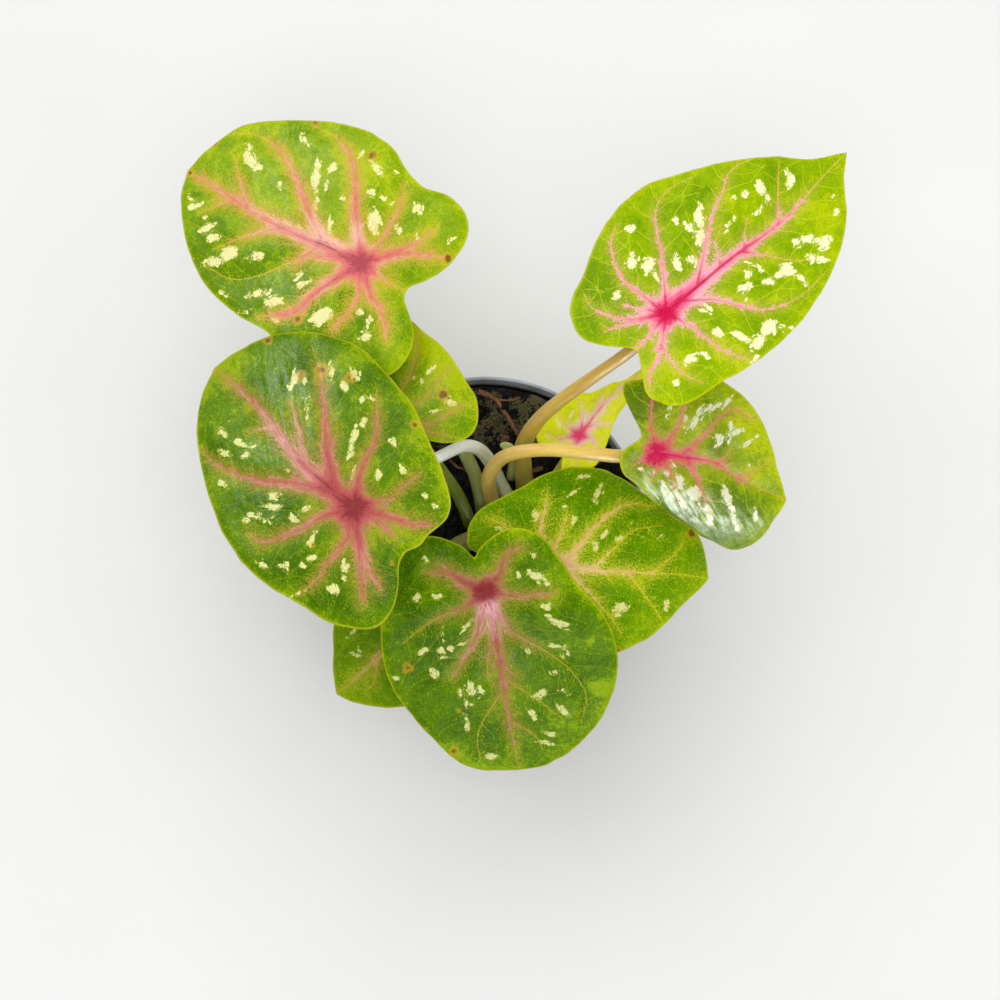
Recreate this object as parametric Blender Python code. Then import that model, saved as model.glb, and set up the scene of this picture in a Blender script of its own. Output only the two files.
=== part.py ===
"""Potted caladium plant: nine heart-shaped leaves on arching stalks, a tuber, soil and a small pot.

The frame's origin is the centre of the pot's flat underside, +Z is up, and every size below is in
millimetres. Each leaf blade, each stalk, the sheath of the next shoot, the tuber, the soil and the pot
is one closed solid of its own.
"""
import bpy
import math
import numpy as np

MM = 0.001
GAP = 0.3

# Pot: a thin-walled nursery pot with a collar
POT_HEIGHT = 52.0
POT_RIM_RADIUS = 30.0
POT_BASE_RADIUS = 21.0
POT_WALL = 0.9
POT_FLOOR = 1.4
COLLAR_HEIGHT = 8.0
COLLAR_STEP = 1.3
POT_SIDES = 60
DRAIN_COUNT = 6
DRAIN_RADIUS = 2.6
DRAIN_CIRCLE = 14.0

# Soil and tuber
SOIL_LEVEL = 48.8
SOIL_MOUND = 1.0
SOIL_MOUND_SPREAD = 11.0
CROWN = (4.2, 3.6)
TUBER_RADIUS = 11.0
TUBER_HALF_HEIGHT = 7.0
TUBER_LEVEL = 34.0

# Leaf blades
BLADE = 0.7
RIB = 0.35
CREASE_ROUND = 1.5
WAVE_START = 12.0
SPOKES = 44
RINGS = (0.12, 0.3, 0.5, 0.7, 0.87, 1.0)
RIB_ANGLES = (0.0, 44.0, 86.0, 136.0, -44.0, -86.0, -136.0)

# Stalks
STALK_SIDES = 8
STALK_STEP = 3.2
NECK_DROP = 1.3
NECK_BACK = 1.2

# Each leaf: the junction with its stalk; turn of the midrib about Z; droop of the tip and roll about the
# midrib in degrees; curvatures per millimetre toward the tip, the lobes and the two sides; crease is the
# slope of the fold at the midrib; wave is (height, count, phase in degrees); edge gives the reach of the
# margin from the junction at some angles from the midrib, positive to the left seen from above.
LEAVES = {
    "upper_left": dict(
        junction=(-22.5, 43.5, 84.0), turn=147, droop=12, roll=-4,
        tip_bend=0.003, lobe_bend=0.005, side_bend=(0.007, 0.007), crease=0.14, wave=(0.9, 5, 40),
        edge={0: 41.8, 6: 40.2, 14: 37.2, 33: 31, 54: 24, 64: 21.6, 80: 21.0, 115: 21.3, 143: 21.3, 157: 17.5, 168: 11.5,
              182: 10, 196: 12.8, 210: 16.8, 228: 20.7, 247: 20.3, 266: 18, 280: 20, 287: 22.2, 300: 25.5,
              320: 30.7, 332: 35, 342: 39.2, 352: 40.8}),
    "left": dict(
        junction=(-23.0, -4.0, 94.0), turn=133, droop=12, roll=-6,
        tip_bend=0.0035, lobe_bend=0.005, side_bend=(0.008, 0.008), crease=0.14, wave=(0.8, 4, 100),
        edge={0: 41, 12: 37, 30: 30, 52: 24.7, 80: 21, 105: 19.4, 130: 21, 150: 21.4, 162: 18.2,
              172: 14.1, 184: 12.8, 195: 14.1, 203: 14.4, 218: 16.8, 248: 17, 270: 18, 287: 21.1, 300: 24, 322: 32.7,
              342: 38.6}),
    "behind": dict(
        junction=(-16.0, 16.0, 81.0), turn=113, droop=8, roll=-4,
        tip_bend=0.004, lobe_bend=0.006, side_bend=(0.009, 0.009), crease=0.14, wave=(0.6, 4, 0),
        edge={0: 26.2, 20: 21.5, 45: 17, 75: 14.5, 110: 13.5, 138: 12, 160: 8.5, 180: 6, 200: 6.5,
              214: 10.6, 220: 12.4, 228: 14, 250: 14.8, 277: 13.9, 310: 15.6, 320: 16.6, 331: 18.8, 346: 21}),
    "upper_right": dict(
        junction=(32.0, 30.5, 97.0), turn=44, droop=4, roll=0,
        tip_bend=0.002, lobe_bend=0.005, side_bend=(0.006, 0.006), crease=0.14, wave=(0.8, 5, 0),
        edge={0: 47, 3: 42.6, 13: 36.3, 30: 29.2, 55: 24.2, 82: 19, 104: 16.4, 140: 16.8, 155: 15.3,
              163: 13, 180: 9.1, 196: 9.5, 205: 12, 211: 14.8, 222: 16.6, 270: 16.1, 300: 20.5, 325: 28,
              348: 39.2, 356: 43.2}),
    "right": dict(
        junction=(31.0, 9.5, 78.0), turn=-17, droop=18, roll=20,
        tip_bend=0.005, lobe_bend=0.006, side_bend=(0.012, 0.045), crease=0.2, wave=(0.6, 4, 200),
        edge={0: 27.8, 8: 24.8, 20: 22.5, 38: 20.4, 58: 18.6, 85: 16.4, 112: 14.2, 125: 14.1, 133: 14.4, 138: 14.2, 142: 12.4,
              146: 6.4, 151: 4.8, 160: 4.4, 180: 5, 204: 6.6, 232: 7, 258: 6.8, 284: 8.2, 307: 12.6, 318: 16.6,
              326: 22, 331: 25.9, 342: 27.6, 352: 27.3}),
    "young": dict(
        junction=(17.5, 17.0, 60.0), turn=46, droop=-2, roll=0,
        tip_bend=0.006, lobe_bend=0.006, side_bend=(0.0, 0.0), crease=0.5, wave=(0.3, 4, 0),
        edge={0: 22, 3: 16.6, 12: 12, 25: 8.8, 50: 7.8, 110: 7.8, 140: 8, 160: 7, 178: 4.8, 187: 5.2, 196: 7.2,
              220: 8, 248: 7, 285: 5.6, 315: 5.8, 335: 7.2, 347: 10, 355: 15.5}),
    "lower_right": dict(
        junction=(12.0, -8.5, 67.0), turn=-1, droop=16, roll=0,
        tip_bend=0.005, lobe_bend=0.006, side_bend=(0.009, 0.009), crease=0.14, wave=(0.8, 5, 60),
        edge={0: 32.3, 13: 31.2, 35: 24.5, 60: 21.2, 85: 17.7, 116: 14.9, 137: 15.4, 150: 16.5, 166: 16.2,
              174: 14.8, 181: 9.4, 190: 6, 202: 6.5, 215: 12.5, 240: 15.5, 270: 17.6, 295: 19.5, 311: 20.8,
              330: 23.7, 350: 28}),
    "front": dict(
        junction=(0.0, -16.5, 81.0), turn=-78, droop=32, roll=0,
        tip_bend=0.005, lobe_bend=0.006, side_bend=(0.008, 0.008), crease=0.14, wave=(0.8, 5, 150),
        edge={0: 39.1, 8: 39.6, 20: 37.7, 40: 31.6, 60: 24.2, 80: 17, 100: 14.8, 130: 14.2, 150: 12.4,
              165: 9.7, 178: 7.9, 188: 7, 194: 9.2, 200: 11, 212: 14.8, 240: 17.4, 265: 18.6, 285: 20.8,
              310: 25.6, 330: 30.3, 346: 36.6}),
    "lower_left": dict(
        junction=(-11.0, -17.0, 63.0), turn=-141, droop=22, roll=0,
        tip_bend=0.004, lobe_bend=0.006, side_bend=(0.009, 0.009), crease=0.14, wave=(0.6, 4, 0),
        edge={0: 24.3, 12: 22, 32: 18.7, 60: 16.3, 95: 14.5, 130: 13.5, 150: 11, 168: 7, 180: 5.5,
              192: 7, 210: 11, 230: 13.5, 265: 14.5, 300: 16.3, 327: 18.5, 345: 21}),
}

# Each stalk: radius at the foot and under the leaf, where its foot stands, and points that it passes
STALKS = {
    "upper_left": dict(radii=(1.4, 1.1), foot=(-0.8, 5.4), points=[
        (-0.8, 5.4, 51), (-2, 10, 57.5), (-4, 13.5, 61.5), (-8, 20.5, 67), (-12, 27, 70), (-14.6, 33, 73.5), (-16.8, 38.2, 77.5)]),
    "left": dict(radii=(1.5, 1.0), foot=(4.6, 6.0), points=[
        (4.6, 6, 50.5), (2.4, 9.5, 55.5), (0.6, 12, 61), (-1.5, 12.8, 67.5), (-4, 12, 73), (-7, 9.8, 77),
        (-10.5, 6.8, 81.5), (-16, 1.5, 88)]),
    "behind": dict(radii=(1.4, 1.0), foot=(-3.2, 2.4), points=[
        (-3.2, 2.4, 50.5), (-5.2, 6, 58), (-8.5, 9.5, 66), (-12.5, 13, 74)]),
    "upper_right": dict(radii=(2.0, 1.1), foot=(7.4, 8.8), points=[
        (7.4, 8.8, 50.5), (7, 11, 58), (7, 13.5, 67), (9.5, 16, 76), (14, 18.5, 83), (20, 21.5, 89),
        (26, 25, 93)]),
    "right": dict(radii=(1.5, 1.2), foot=(2.2, 3.0), points=[
        (2.2, 3, 51), (1, 6, 57), (0.5, 8, 64), (2.5, 10, 70), (5.5, 10.5, 74), (11.5, 10.5, 76.5),
        (19, 9.8, 76.5), (25, 9.6, 75.3)]),
    "young": dict(radii=(1.2, 0.8), foot=(10.4, 4.6), points=[
        (10.4, 4.6, 50.5), (12.2, 9, 54), (14.8, 13, 56.5)]),
    "lower_right": dict(radii=(1.6, 1.1), foot=(8.7, -0.6), points=[
        (8.7, -0.6, 51), (10, -4, 59)]),
    "front": dict(radii=(1.6, 1.15), foot=(5.0, -1.8), points=[
        (5, -1.8, 51), (4.5, -6.5, 60), (3.2, -11.3, 69), (1.4, -14.6, 76)]),
    "lower_left": dict(radii=(2.3, 1.4), foot=(0.3, -1.6), points=[
        (0.3, -1.6, 50.5), (-2.9, -1.8, 53), (-6.5, -4, 55), (-9.3, -9.5, 58.5)]),
}
SHEATH = dict(radii=(1.2, 0.9), foot=(4.9, 11.3), points=[
    (4.9, 11.3, 50.5), (5.1, 13.2, 55.5), (4.4, 14.8, 59), (2.7, 15.2, 60.4)])

COLOURS = {
    "leaf_deep": (0.09, 0.26, 0.01),
    "leaf_light": (0.26, 0.5, 0.02),
    "leaf_young": (0.55, 0.68, 0.05),
    "stalk_pale": (0.42, 0.46, 0.2),
    "stalk_tan": (0.62, 0.5, 0.16),
    "tuber": (0.16, 0.09, 0.05),
    "soil": (0.035, 0.025, 0.02),
    "pot": (0.03, 0.032, 0.036),
}


def material(name, colour, roughness):
    """A Principled material of one colour."""
    made = bpy.data.materials.new(name)
    made.use_nodes = True
    shader = made.node_tree.nodes["Principled BSDF"]
    shader.inputs["Base Color"].default_value = (*colour, 1.0)
    shader.inputs["Roughness"].default_value = roughness
    shader.inputs["Metallic"].default_value = 0.0
    made.diffuse_color = (*colour, 1.0)
    return made


def solid(name, points, faces, colour, roughness, smooth=True):
    """A mesh object from points in millimetres and lists of corners."""
    mesh = bpy.data.meshes.new(name)
    mesh.from_pydata([tuple(float(v) * MM for v in p) for p in points], [], faces)
    mesh.validate()
    mesh.update()
    if smooth:
        mesh.shade_smooth()
        mesh.set_sharp_from_angle(angle=math.radians(50))
    mesh.materials.append(material(name, COLOURS[colour], roughness))
    made = bpy.data.objects.new(name, mesh)
    bpy.context.scene.collection.objects.link(made)
    return made


def leaf_axes(leaf):
    """Columns are the midrib's direction, the left side and the upper normal of the blade at its junction."""
    turn, droop, roll = (math.radians(leaf[key]) for key in ("turn", "droop", "roll"))
    about_z = np.array([[math.cos(turn), -math.sin(turn), 0], [math.sin(turn), math.cos(turn), 0], [0, 0, 1]])
    about_y = np.array([[math.cos(droop), 0, math.sin(droop)], [0, 1, 0], [-math.sin(droop), 0, math.cos(droop)]])
    about_x = np.array([[1, 0, 0], [0, math.cos(roll), -math.sin(roll)], [0, math.sin(roll), math.cos(roll)]])
    return about_z @ about_y @ about_x


def reach(leaf, angle):
    """Distance from the junction to the margin at angles in degrees: a smooth closed curve through the
    stated reaches, with slopes taken across the neighbours, and a sharp tip at angle 0."""
    known = sorted(leaf["edge"].items())
    a = np.array([k for k, _ in known] + [360.0])
    r = np.array([v for _, v in known] + [known[0][1]])
    step = np.diff(a)
    rise = np.diff(r) / step
    slope = np.empty(len(a))
    slope[1:-1] = (rise[:-1] * step[1:] + rise[1:] * step[:-1]) / (step[:-1] + step[1:])
    after_tip = rise[0]
    before_tip = rise[-1]
    angle = np.mod(np.asarray(angle, float), 360.0)
    k = np.clip(np.searchsorted(a, angle, side="right") - 1, 0, len(step) - 1)
    left = np.where(k == 0, after_tip, slope[k])
    right = np.where(k == len(step) - 1, before_tip, slope[k + 1])
    h = step[k]
    s = (angle - a[k]) / h
    return ((2 * s**3 - 3 * s**2 + 1) * r[k] + (s**3 - 2 * s**2 + s) * h * left
            + (3 * s**2 - 2 * s**3) * r[k + 1] + (s**3 - s**2) * h * right)


def blade_height(leaf, x, y):
    """Height of the blade above its junction plane: it bends down to the tip, the lobes and both sides,
    has a fold along the midrib, and waves that grow away from the junction."""
    left_bend, right_bend = leaf["side_bend"]
    height, count, phase = leaf["wave"]
    away = x * x + y * y
    grown = away / (away + WAVE_START**2)
    bend = np.where(x > 0, leaf["tip_bend"], leaf["lobe_bend"]) * x * x
    side = np.where(y > 0, left_bend, right_bend) * y * y
    fold = leaf["crease"] * (np.sqrt(y * y + CREASE_ROUND**2) - CREASE_ROUND)
    wave = height * grown * np.sin(count * np.arctan2(y, x) + math.radians(phase))
    return fold + wave - bend - side


def blade_points(leaf, x, y):
    """World points of the blade's middle surface and its unit normals there."""
    axes = leaf_axes(leaf)
    step = 0.05
    z = blade_height(leaf, x, y)
    dx = (blade_height(leaf, x + step, y) - blade_height(leaf, x - step, y)) / (2 * step)
    dy = (blade_height(leaf, x, y + step) - blade_height(leaf, x, y - step)) / (2 * step)
    normal = np.stack([-dx, -dy, np.ones_like(x)], -1)
    normal /= np.linalg.norm(normal, axis=-1, keepdims=True)
    place = np.stack([x, y, z], -1) @ axes.T + np.array(leaf["junction"])
    return place, normal @ axes.T


def spoke_angles(leaf):
    """Angles of the spokes, spaced evenly along the margin and starting at the tip."""
    fine = np.linspace(0.0, 360.0, 1441)
    r = reach(leaf, fine)
    x = r * np.cos(np.radians(fine))
    y = r * np.sin(np.radians(fine))
    run = np.concatenate([[0.0], np.cumsum(np.hypot(np.diff(x), np.diff(y)))])
    return np.interp(np.arange(SPOKES) * run[-1] / SPOKES, run, fine)


def blade(name, leaf, colour):
    """A leaf blade: spokes from the junction to the margin, rings between, the same triangles on both
    faces, and main ribs standing out of the underside."""
    angles = spoke_angles(leaf)
    margin = reach(leaf, angles)
    turned = np.radians(angles)
    parts = np.array(RINGS)[:, None]
    x = np.concatenate([[0.0], (parts * margin * np.cos(turned)).ravel()])
    y = np.concatenate([[0.0], (parts * margin * np.sin(turned)).ravel()])
    middle, normal = blade_points(leaf, x, y)
    ribbed = np.zeros(SPOKES)
    for rib in RIB_ANGLES:
        away = np.abs((angles - rib + 180.0) % 360.0 - 180.0)
        ribbed[away.argmin()] = RIB
    fade = np.sin(np.pi * np.clip(parts, 0.0, 1.0) ** 0.7) * np.ones(SPOKES)
    rib_depth = np.concatenate([[0.0], (fade * ribbed).ravel()])
    top = middle + normal * (BLADE / 2)
    under = middle - normal * (BLADE / 2 + rib_depth)[:, None]
    count = len(x)
    faces = []
    for k in range(SPOKES):
        n = (k + 1) % SPOKES
        faces.append((0, 1 + k, 1 + n))
        faces.append((count, count + 1 + n, count + 1 + k))
        for ring in range(len(RINGS) - 1):
            a = 1 + ring * SPOKES + k
            b = 1 + ring * SPOKES + n
            c = b + SPOKES
            d = a + SPOKES
            faces += [(a, d, c), (a, c, b)]
            faces += [(count + a, count + c, count + d), (count + a, count + b, count + c)]
        outer = 1 + (len(RINGS) - 1) * SPOKES
        p = outer + k
        q = outer + n
        faces += [(p, count + p, count + q), (p, count + q, q)]
    return solid(name, np.concatenate([top, under]), faces, colour, 0.45)


def smooth_path(points, step):
    """Points along a curve that passes through the given ones and leaves the first one in a straight
    line, about one step apart."""
    points = np.array(points, float)
    run = np.concatenate([[0.0], np.cumsum(np.sqrt(np.linalg.norm(np.diff(points, axis=0), axis=1)))])
    rise = np.diff(points, axis=0) / np.diff(run)[:, None]
    slope = np.empty_like(points)
    before = np.diff(run)[:-1, None]
    after = np.diff(run)[1:, None]
    slope[1:-1] = (rise[:-1] * after + rise[1:] * before) / (before + after)
    slope[:2] = rise[0]
    slope[-1] = rise[-1]
    fine = np.linspace(0.0, run[-1], 400)
    k = np.clip(np.searchsorted(run, fine, side="right") - 1, 0, len(points) - 2)
    h = (run[k + 1] - run[k])[:, None]
    s = (fine - run[k])[:, None] / h
    curve = ((2 * s**3 - 3 * s**2 + 1) * points[k] + (s**3 - 2 * s**2 + s) * h * slope[k]
             + (3 * s**2 - 2 * s**3) * points[k + 1] + (s**3 - s**2) * h * slope[k + 1])
    length = np.concatenate([[0.0], np.cumsum(np.linalg.norm(np.diff(curve, axis=0), axis=1))])
    count = max(4, round(length[-1] / step))
    even = np.linspace(0.0, length[-1], count + 1)
    return np.stack([np.interp(even, length, curve[:, axis]) for axis in range(3)], -1)


def tube(name, path, radii, end_normal, colour):
    """A tapering round stalk along a path. Its foot is level and its last ring lies parallel to the blade."""
    count = len(path)
    direction = np.gradient(path, axis=0)
    direction /= np.linalg.norm(direction, axis=1, keepdims=True)
    direction[0] = (0.0, 0.0, 1.0)
    if end_normal is not None:
        direction[-1] = end_normal
    side = np.array([1.0, 0.0, 0.0])
    rings = []
    turned = np.arange(STALK_SIDES) * 2 * math.pi / STALK_SIDES
    for k in range(count):
        side = side - direction[k] * (side @ direction[k])
        side /= np.linalg.norm(side)
        across = np.cross(direction[k], side)
        radius = radii[0] + (radii[1] - radii[0]) * min(1.0, 1.25 * k / (count - 1))
        rings.append(path[k] + radius * (np.cos(turned)[:, None] * side + np.sin(turned)[:, None] * across))
    faces = [tuple(range(STALK_SIDES - 1, -1, -1))]
    for k in range(count - 1):
        for j in range(STALK_SIDES):
            a = k * STALK_SIDES + j
            b = k * STALK_SIDES + (j + 1) % STALK_SIDES
            faces.append((a, b, b + STALK_SIDES, a + STALK_SIDES))
    last = (count - 1) * STALK_SIDES
    faces.append(tuple(range(last, last + STALK_SIDES)))
    return solid(name, np.concatenate(rings), faces, colour, 0.5)


def tuber_top(x, y):
    """Height of the tuber's upper side above a point of the ground plan."""
    away = min(1.0, math.hypot(x - CROWN[0], y - CROWN[1]) / TUBER_RADIUS)
    return TUBER_LEVEL + TUBER_HALF_HEIGHT * math.sqrt(1.0 - away**2)


def foot_point(stalk):
    """The stalk's foot, a small gap above the tuber at the edge that is nearest to the crown."""
    x, y = stalk["foot"]
    away = math.hypot(x - CROWN[0], y - CROWN[1])
    near = max(0.0, away - stalk["radii"][0]) / max(away, 1e-6)
    level = tuber_top(CROWN[0] + (x - CROWN[0]) * near, CROWN[1] + (y - CROWN[1]) * near)
    return (x, y, level + GAP)


def turned_shape(name, profile, sides, colour, roughness):
    """A solid of revolution about Z from a closed profile of (radius, height), listed counterclockwise
    seen with the radius to the right; a radius of zero is a single point on the axis."""
    points = []
    rows = []
    for radius, height in profile:
        if radius < 1e-6:
            rows.append([len(points)] * sides)
            points.append((0.0, 0.0, height))
        else:
            rows.append(list(range(len(points), len(points) + sides)))
            for k in range(sides):
                angle = 2 * math.pi * k / sides
                points.append((radius * math.cos(angle), radius * math.sin(angle), height))
    faces = []
    for low, high in zip(rows, rows[1:] + rows[:1]):
        for k in range(sides):
            n = (k + 1) % sides
            corners = []
            for corner in (low[k], low[n], high[n], high[k]):
                if corner not in corners:
                    corners.append(corner)
            if len(corners) > 2:
                faces.append(tuple(corners))
    return solid(name, points, faces, colour, roughness)


def wall_radius(height):
    """Outer radius of the pot's wall below its collar."""
    top = POT_RIM_RADIUS - COLLAR_STEP - 0.3
    return POT_BASE_RADIUS + 0.5 + (top - POT_BASE_RADIUS - 0.5) * height / (POT_HEIGHT - COLLAR_HEIGHT)


def make_pot():
    """The pot: flat underside, tapered wall, a collar that steps out, a rolled rim and drain holes."""
    step = POT_HEIGHT - COLLAR_HEIGHT
    low = wall_radius(step)
    profile = [
        (0.0, 0.0),
        (POT_BASE_RADIUS, 0.0),
        (POT_BASE_RADIUS + 0.5, 0.5),
        (low, step - 0.3),
        (low + 0.2, step),
        (low + COLLAR_STEP - 0.3, step + 0.5),
        (POT_RIM_RADIUS - 0.1, POT_HEIGHT - 1.2),
        (POT_RIM_RADIUS, POT_HEIGHT - 0.7),
        (POT_RIM_RADIUS - 0.1, POT_HEIGHT - 0.1),
        (POT_RIM_RADIUS - 0.5, POT_HEIGHT),
        (POT_RIM_RADIUS - 0.9, POT_HEIGHT - 0.2),
        (POT_RIM_RADIUS - 1.05, POT_HEIGHT - 1.2),
        (low + COLLAR_STEP - 1.3, step + 1.3),
        (low - 0.75, step + 0.7),
        (wall_radius(POT_FLOOR + 0.6) - POT_WALL, POT_FLOOR + 0.6),
        (POT_BASE_RADIUS - 1.0, POT_FLOOR),
        (0.0, POT_FLOOR),
    ]
    pot = turned_shape("pot", profile, POT_SIDES, "pot", 0.5)
    for k in range(DRAIN_COUNT):
        angle = 2 * math.pi * (k + 0.5) / DRAIN_COUNT
        place = (DRAIN_CIRCLE * math.cos(angle), DRAIN_CIRCLE * math.sin(angle))
        cut(pot, cylinder("drain_cutter_%d" % k, place, DRAIN_RADIUS, -3.0, POT_FLOOR + 3.0, 16))
    return pot


def soil_surface(x, y):
    """Height of the soil: level, mounded at the crown, with low clods."""
    away = (x - CROWN[0]) ** 2 + (y - CROWN[1]) ** 2
    mound = SOIL_MOUND * np.exp(-away / SOIL_MOUND_SPREAD**2)
    clods = 0.35 * np.sin(0.55 * x + 0.9) * np.sin(0.5 * y - 0.4) + 0.2 * np.sin(1.15 * x - 0.8 * y)
    return SOIL_LEVEL + mound + clods


def make_soil():
    """The soil that fills the pot, with a plain hole for each stalk and a hollow for the tuber."""
    sides = 48
    levels = (POT_FLOOR + GAP, POT_FLOOR + 1.6, 22.0, 43.0, 45.2)
    walls = (
        POT_BASE_RADIUS - 2.0, wall_radius(POT_FLOOR + 1.6) - POT_WALL - GAP,
        wall_radius(22.0) - POT_WALL - GAP, wall_radius(43.0) - POT_WALL - GAP,
        POT_RIM_RADIUS - COLLAR_STEP - 0.9 - GAP,
    )
    points = [(0.0, 0.0, levels[0])]
    for radius, level in zip(walls, levels):
        for k in range(sides):
            angle = 2 * math.pi * k / sides
            points.append((radius * math.cos(angle), radius * math.sin(angle), level))
    edge = POT_RIM_RADIUS - 1.6 - GAP
    for share in (1.0, 0.82, 0.6, 0.38, 0.18):
        for k in range(sides):
            angle = 2 * math.pi * k / sides
            x = edge * share * math.cos(angle)
            y = edge * share * math.sin(angle)
            points.append((x, y, float(soil_surface(x, y))))
    points.append((0.0, 0.0, float(soil_surface(0.0, 0.0))))
    faces = []
    rows = 10
    for k in range(sides):
        n = (k + 1) % sides
        faces.append((0, 1 + n, 1 + k))
        for row in range(rows - 1):
            a = 1 + row * sides + k
            b = 1 + row * sides + n
            faces += [(a, b, b + sides), (a, b + sides, a + sides)]
        faces.append((1 + (rows - 1) * sides + k, 1 + (rows - 1) * sides + n, len(points) - 1))
    soil = solid("soil", points, faces, "soil", 0.95)
    hollow = ball("tuber_hollow_cutter", TUBER_RADIUS + GAP, TUBER_HALF_HEIGHT + GAP, 24, 12)
    hollow.hide_render = True
    hollow.display_type = "WIRE"
    cut(soil, hollow)
    for name, stalk in list(STALKS.items()) + [("sheath", SHEATH)]:
        hole = cylinder("hole_cutter_" + name, stalk["foot"], stalk["radii"][0] + GAP,
                        TUBER_LEVEL, POT_HEIGHT + 8.0, 16)
        cut(soil, hole)
    return soil


def ball(name, radius, half_height, around, up):
    """A flattened ball at the tuber's place."""
    points = [(CROWN[0], CROWN[1], TUBER_LEVEL - half_height)]
    for row in range(1, up):
        rise = math.pi * row / up - math.pi / 2
        for k in range(around):
            angle = 2 * math.pi * (k + 0.5) / around
            points.append((CROWN[0] + radius * math.cos(rise) * math.cos(angle),
                           CROWN[1] + radius * math.cos(rise) * math.sin(angle),
                           TUBER_LEVEL + half_height * math.sin(rise)))
    points.append((CROWN[0], CROWN[1], TUBER_LEVEL + half_height))
    faces = []
    for k in range(around):
        n = (k + 1) % around
        faces.append((0, 1 + n, 1 + k))
        for row in range(up - 2):
            a = 1 + row * around + k
            b = 1 + row * around + n
            faces.append((a, b, b + around, a + around))
        last = 1 + (up - 2) * around
        faces.append((last + k, last + n, len(points) - 1))
    return solid(name, points, faces, "tuber", 0.85)


def cylinder(name, place, radius, low, high, sides):
    """A plain upright cylinder that only cuts."""
    points = []
    for level in (low, high):
        for k in range(sides):
            angle = 2 * math.pi * (k + 0.5) / sides
            points.append((place[0] + radius * math.cos(angle), place[1] + radius * math.sin(angle), level))
    faces = [tuple(range(sides - 1, -1, -1)), tuple(range(sides, 2 * sides))]
    for k in range(sides):
        n = (k + 1) % sides
        faces.append((k, n, n + sides, k + sides))
    made = solid(name, points, faces, "soil", 0.9, smooth=False)
    made.hide_render = True
    made.display_type = "WIRE"
    return made


def cut(body, cutter):
    """A Boolean difference that stays on the body."""
    step = body.modifiers.new("cut_" + cutter.name, "BOOLEAN")
    step.operation = "DIFFERENCE"
    step.solver = "EXACT"
    step.object = cutter


def main():
    for old in list(bpy.data.objects):
        bpy.data.objects.remove(old, do_unlink=True)
    make_pot()
    make_soil()
    ball("tuber", TUBER_RADIUS, TUBER_HALF_HEIGHT, 24, 12)
    light = ("upper_right", "right")
    for name, leaf in LEAVES.items():
        colour = "leaf_young" if name == "young" else "leaf_light" if name in light else "leaf_deep"
        blade("leaf_" + name, leaf, colour)
        place, normal = blade_points(leaf, np.zeros(1), np.zeros(1))
        end = place[0] - normal[0] * (BLADE / 2 + RIB / 2 + GAP)
        stalk = STALKS[name]
        back = np.array(stalk["points"][-1], float) - end
        back -= normal[0] * (back @ normal[0])
        neck = end - normal[0] * NECK_DROP + back / np.linalg.norm(back) * NECK_BACK
        path = smooth_path([foot_point(stalk)] + stalk["points"] + [neck, end], STALK_STEP)
        tone = "stalk_tan" if name in ("upper_right", "right") else "stalk_pale"
        tube("stalk_" + name, path, stalk["radii"], normal[0], tone)
    path = smooth_path([foot_point(SHEATH)] + SHEATH["points"], STALK_STEP)
    tube("shoot_sheath", path, SHEATH["radii"], None, "stalk_pale")


main()
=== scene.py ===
"""Looks of a potted caladium: veined and blotched leaf blades, ribbed stalks, soil with moss and a dark pot.

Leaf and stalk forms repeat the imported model's: every size in the tables is in millimetres, in the frame
whose origin is the centre of the pot's flat underside, with +Z up.
"""
import math
from collections import namedtuple

import bmesh
import bpy
import numpy as np
from bpy.props import FloatProperty, FloatVectorProperty, IntProperty, PointerProperty
from bpy.types import Operator, Panel, PropertyGroup
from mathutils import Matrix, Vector


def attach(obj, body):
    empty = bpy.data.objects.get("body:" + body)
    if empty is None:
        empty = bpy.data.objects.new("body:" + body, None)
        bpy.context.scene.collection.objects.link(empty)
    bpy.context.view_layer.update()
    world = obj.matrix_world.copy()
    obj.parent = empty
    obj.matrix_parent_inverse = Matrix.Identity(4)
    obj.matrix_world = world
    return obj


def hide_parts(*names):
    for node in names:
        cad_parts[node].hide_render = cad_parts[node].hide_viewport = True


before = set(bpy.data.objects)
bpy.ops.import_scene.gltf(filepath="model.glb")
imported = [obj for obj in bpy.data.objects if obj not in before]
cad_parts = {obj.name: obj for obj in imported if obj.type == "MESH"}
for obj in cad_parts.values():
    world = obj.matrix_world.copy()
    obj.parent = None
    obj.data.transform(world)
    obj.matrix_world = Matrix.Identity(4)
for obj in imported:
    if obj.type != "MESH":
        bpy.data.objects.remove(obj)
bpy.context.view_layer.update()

bl_info = {
    "name": "Potted caladium",
    "version": (1, 0, 0),
    "blender": (4, 5, 0),
    "location": "3D View > Sidebar > Caladium",
    "description": "Builds a small potted caladium with veined, blotched leaves",
    "category": "Add Mesh",
}

MM = 0.001

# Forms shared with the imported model
GAP = 0.3
POT_HEIGHT = 52.0
POT_RIM_RADIUS = 30.0
POT_BASE_RADIUS = 21.0
POT_WALL = 0.9
POT_FLOOR = 1.4
COLLAR_HEIGHT = 8.0
COLLAR_STEP = 1.3
DRAIN_COUNT = 6
DRAIN_RADIUS = 2.6
DRAIN_CIRCLE = 14.0
SOIL_LEVEL = 48.8
SOIL_MOUND = 1.0
SOIL_MOUND_SPREAD = 11.0
CROWN = (4.2, 3.6)
TUBER_RADIUS = 11.0
TUBER_HALF_HEIGHT = 7.0
TUBER_LEVEL = 34.0
CREASE_ROUND = 1.5
WAVE_START = 12.0
NECK_DROP = 1.3
NECK_BACK = 1.2

# Finer forms and marks of the scene's own
PINK_SOFTNESS = 0.55
FAR = 9.0
BRANCH_TURN = 62.0
BRANCH_EASING = 6.0
BRANCH_SWAY = 12.0
BRANCH_PACE = 1.1
STALK_SIDES = 26
POT_SIDES = 180
FLOOR_RADIUS = 1600.0
FLOOR_SIDES = 64

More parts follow.
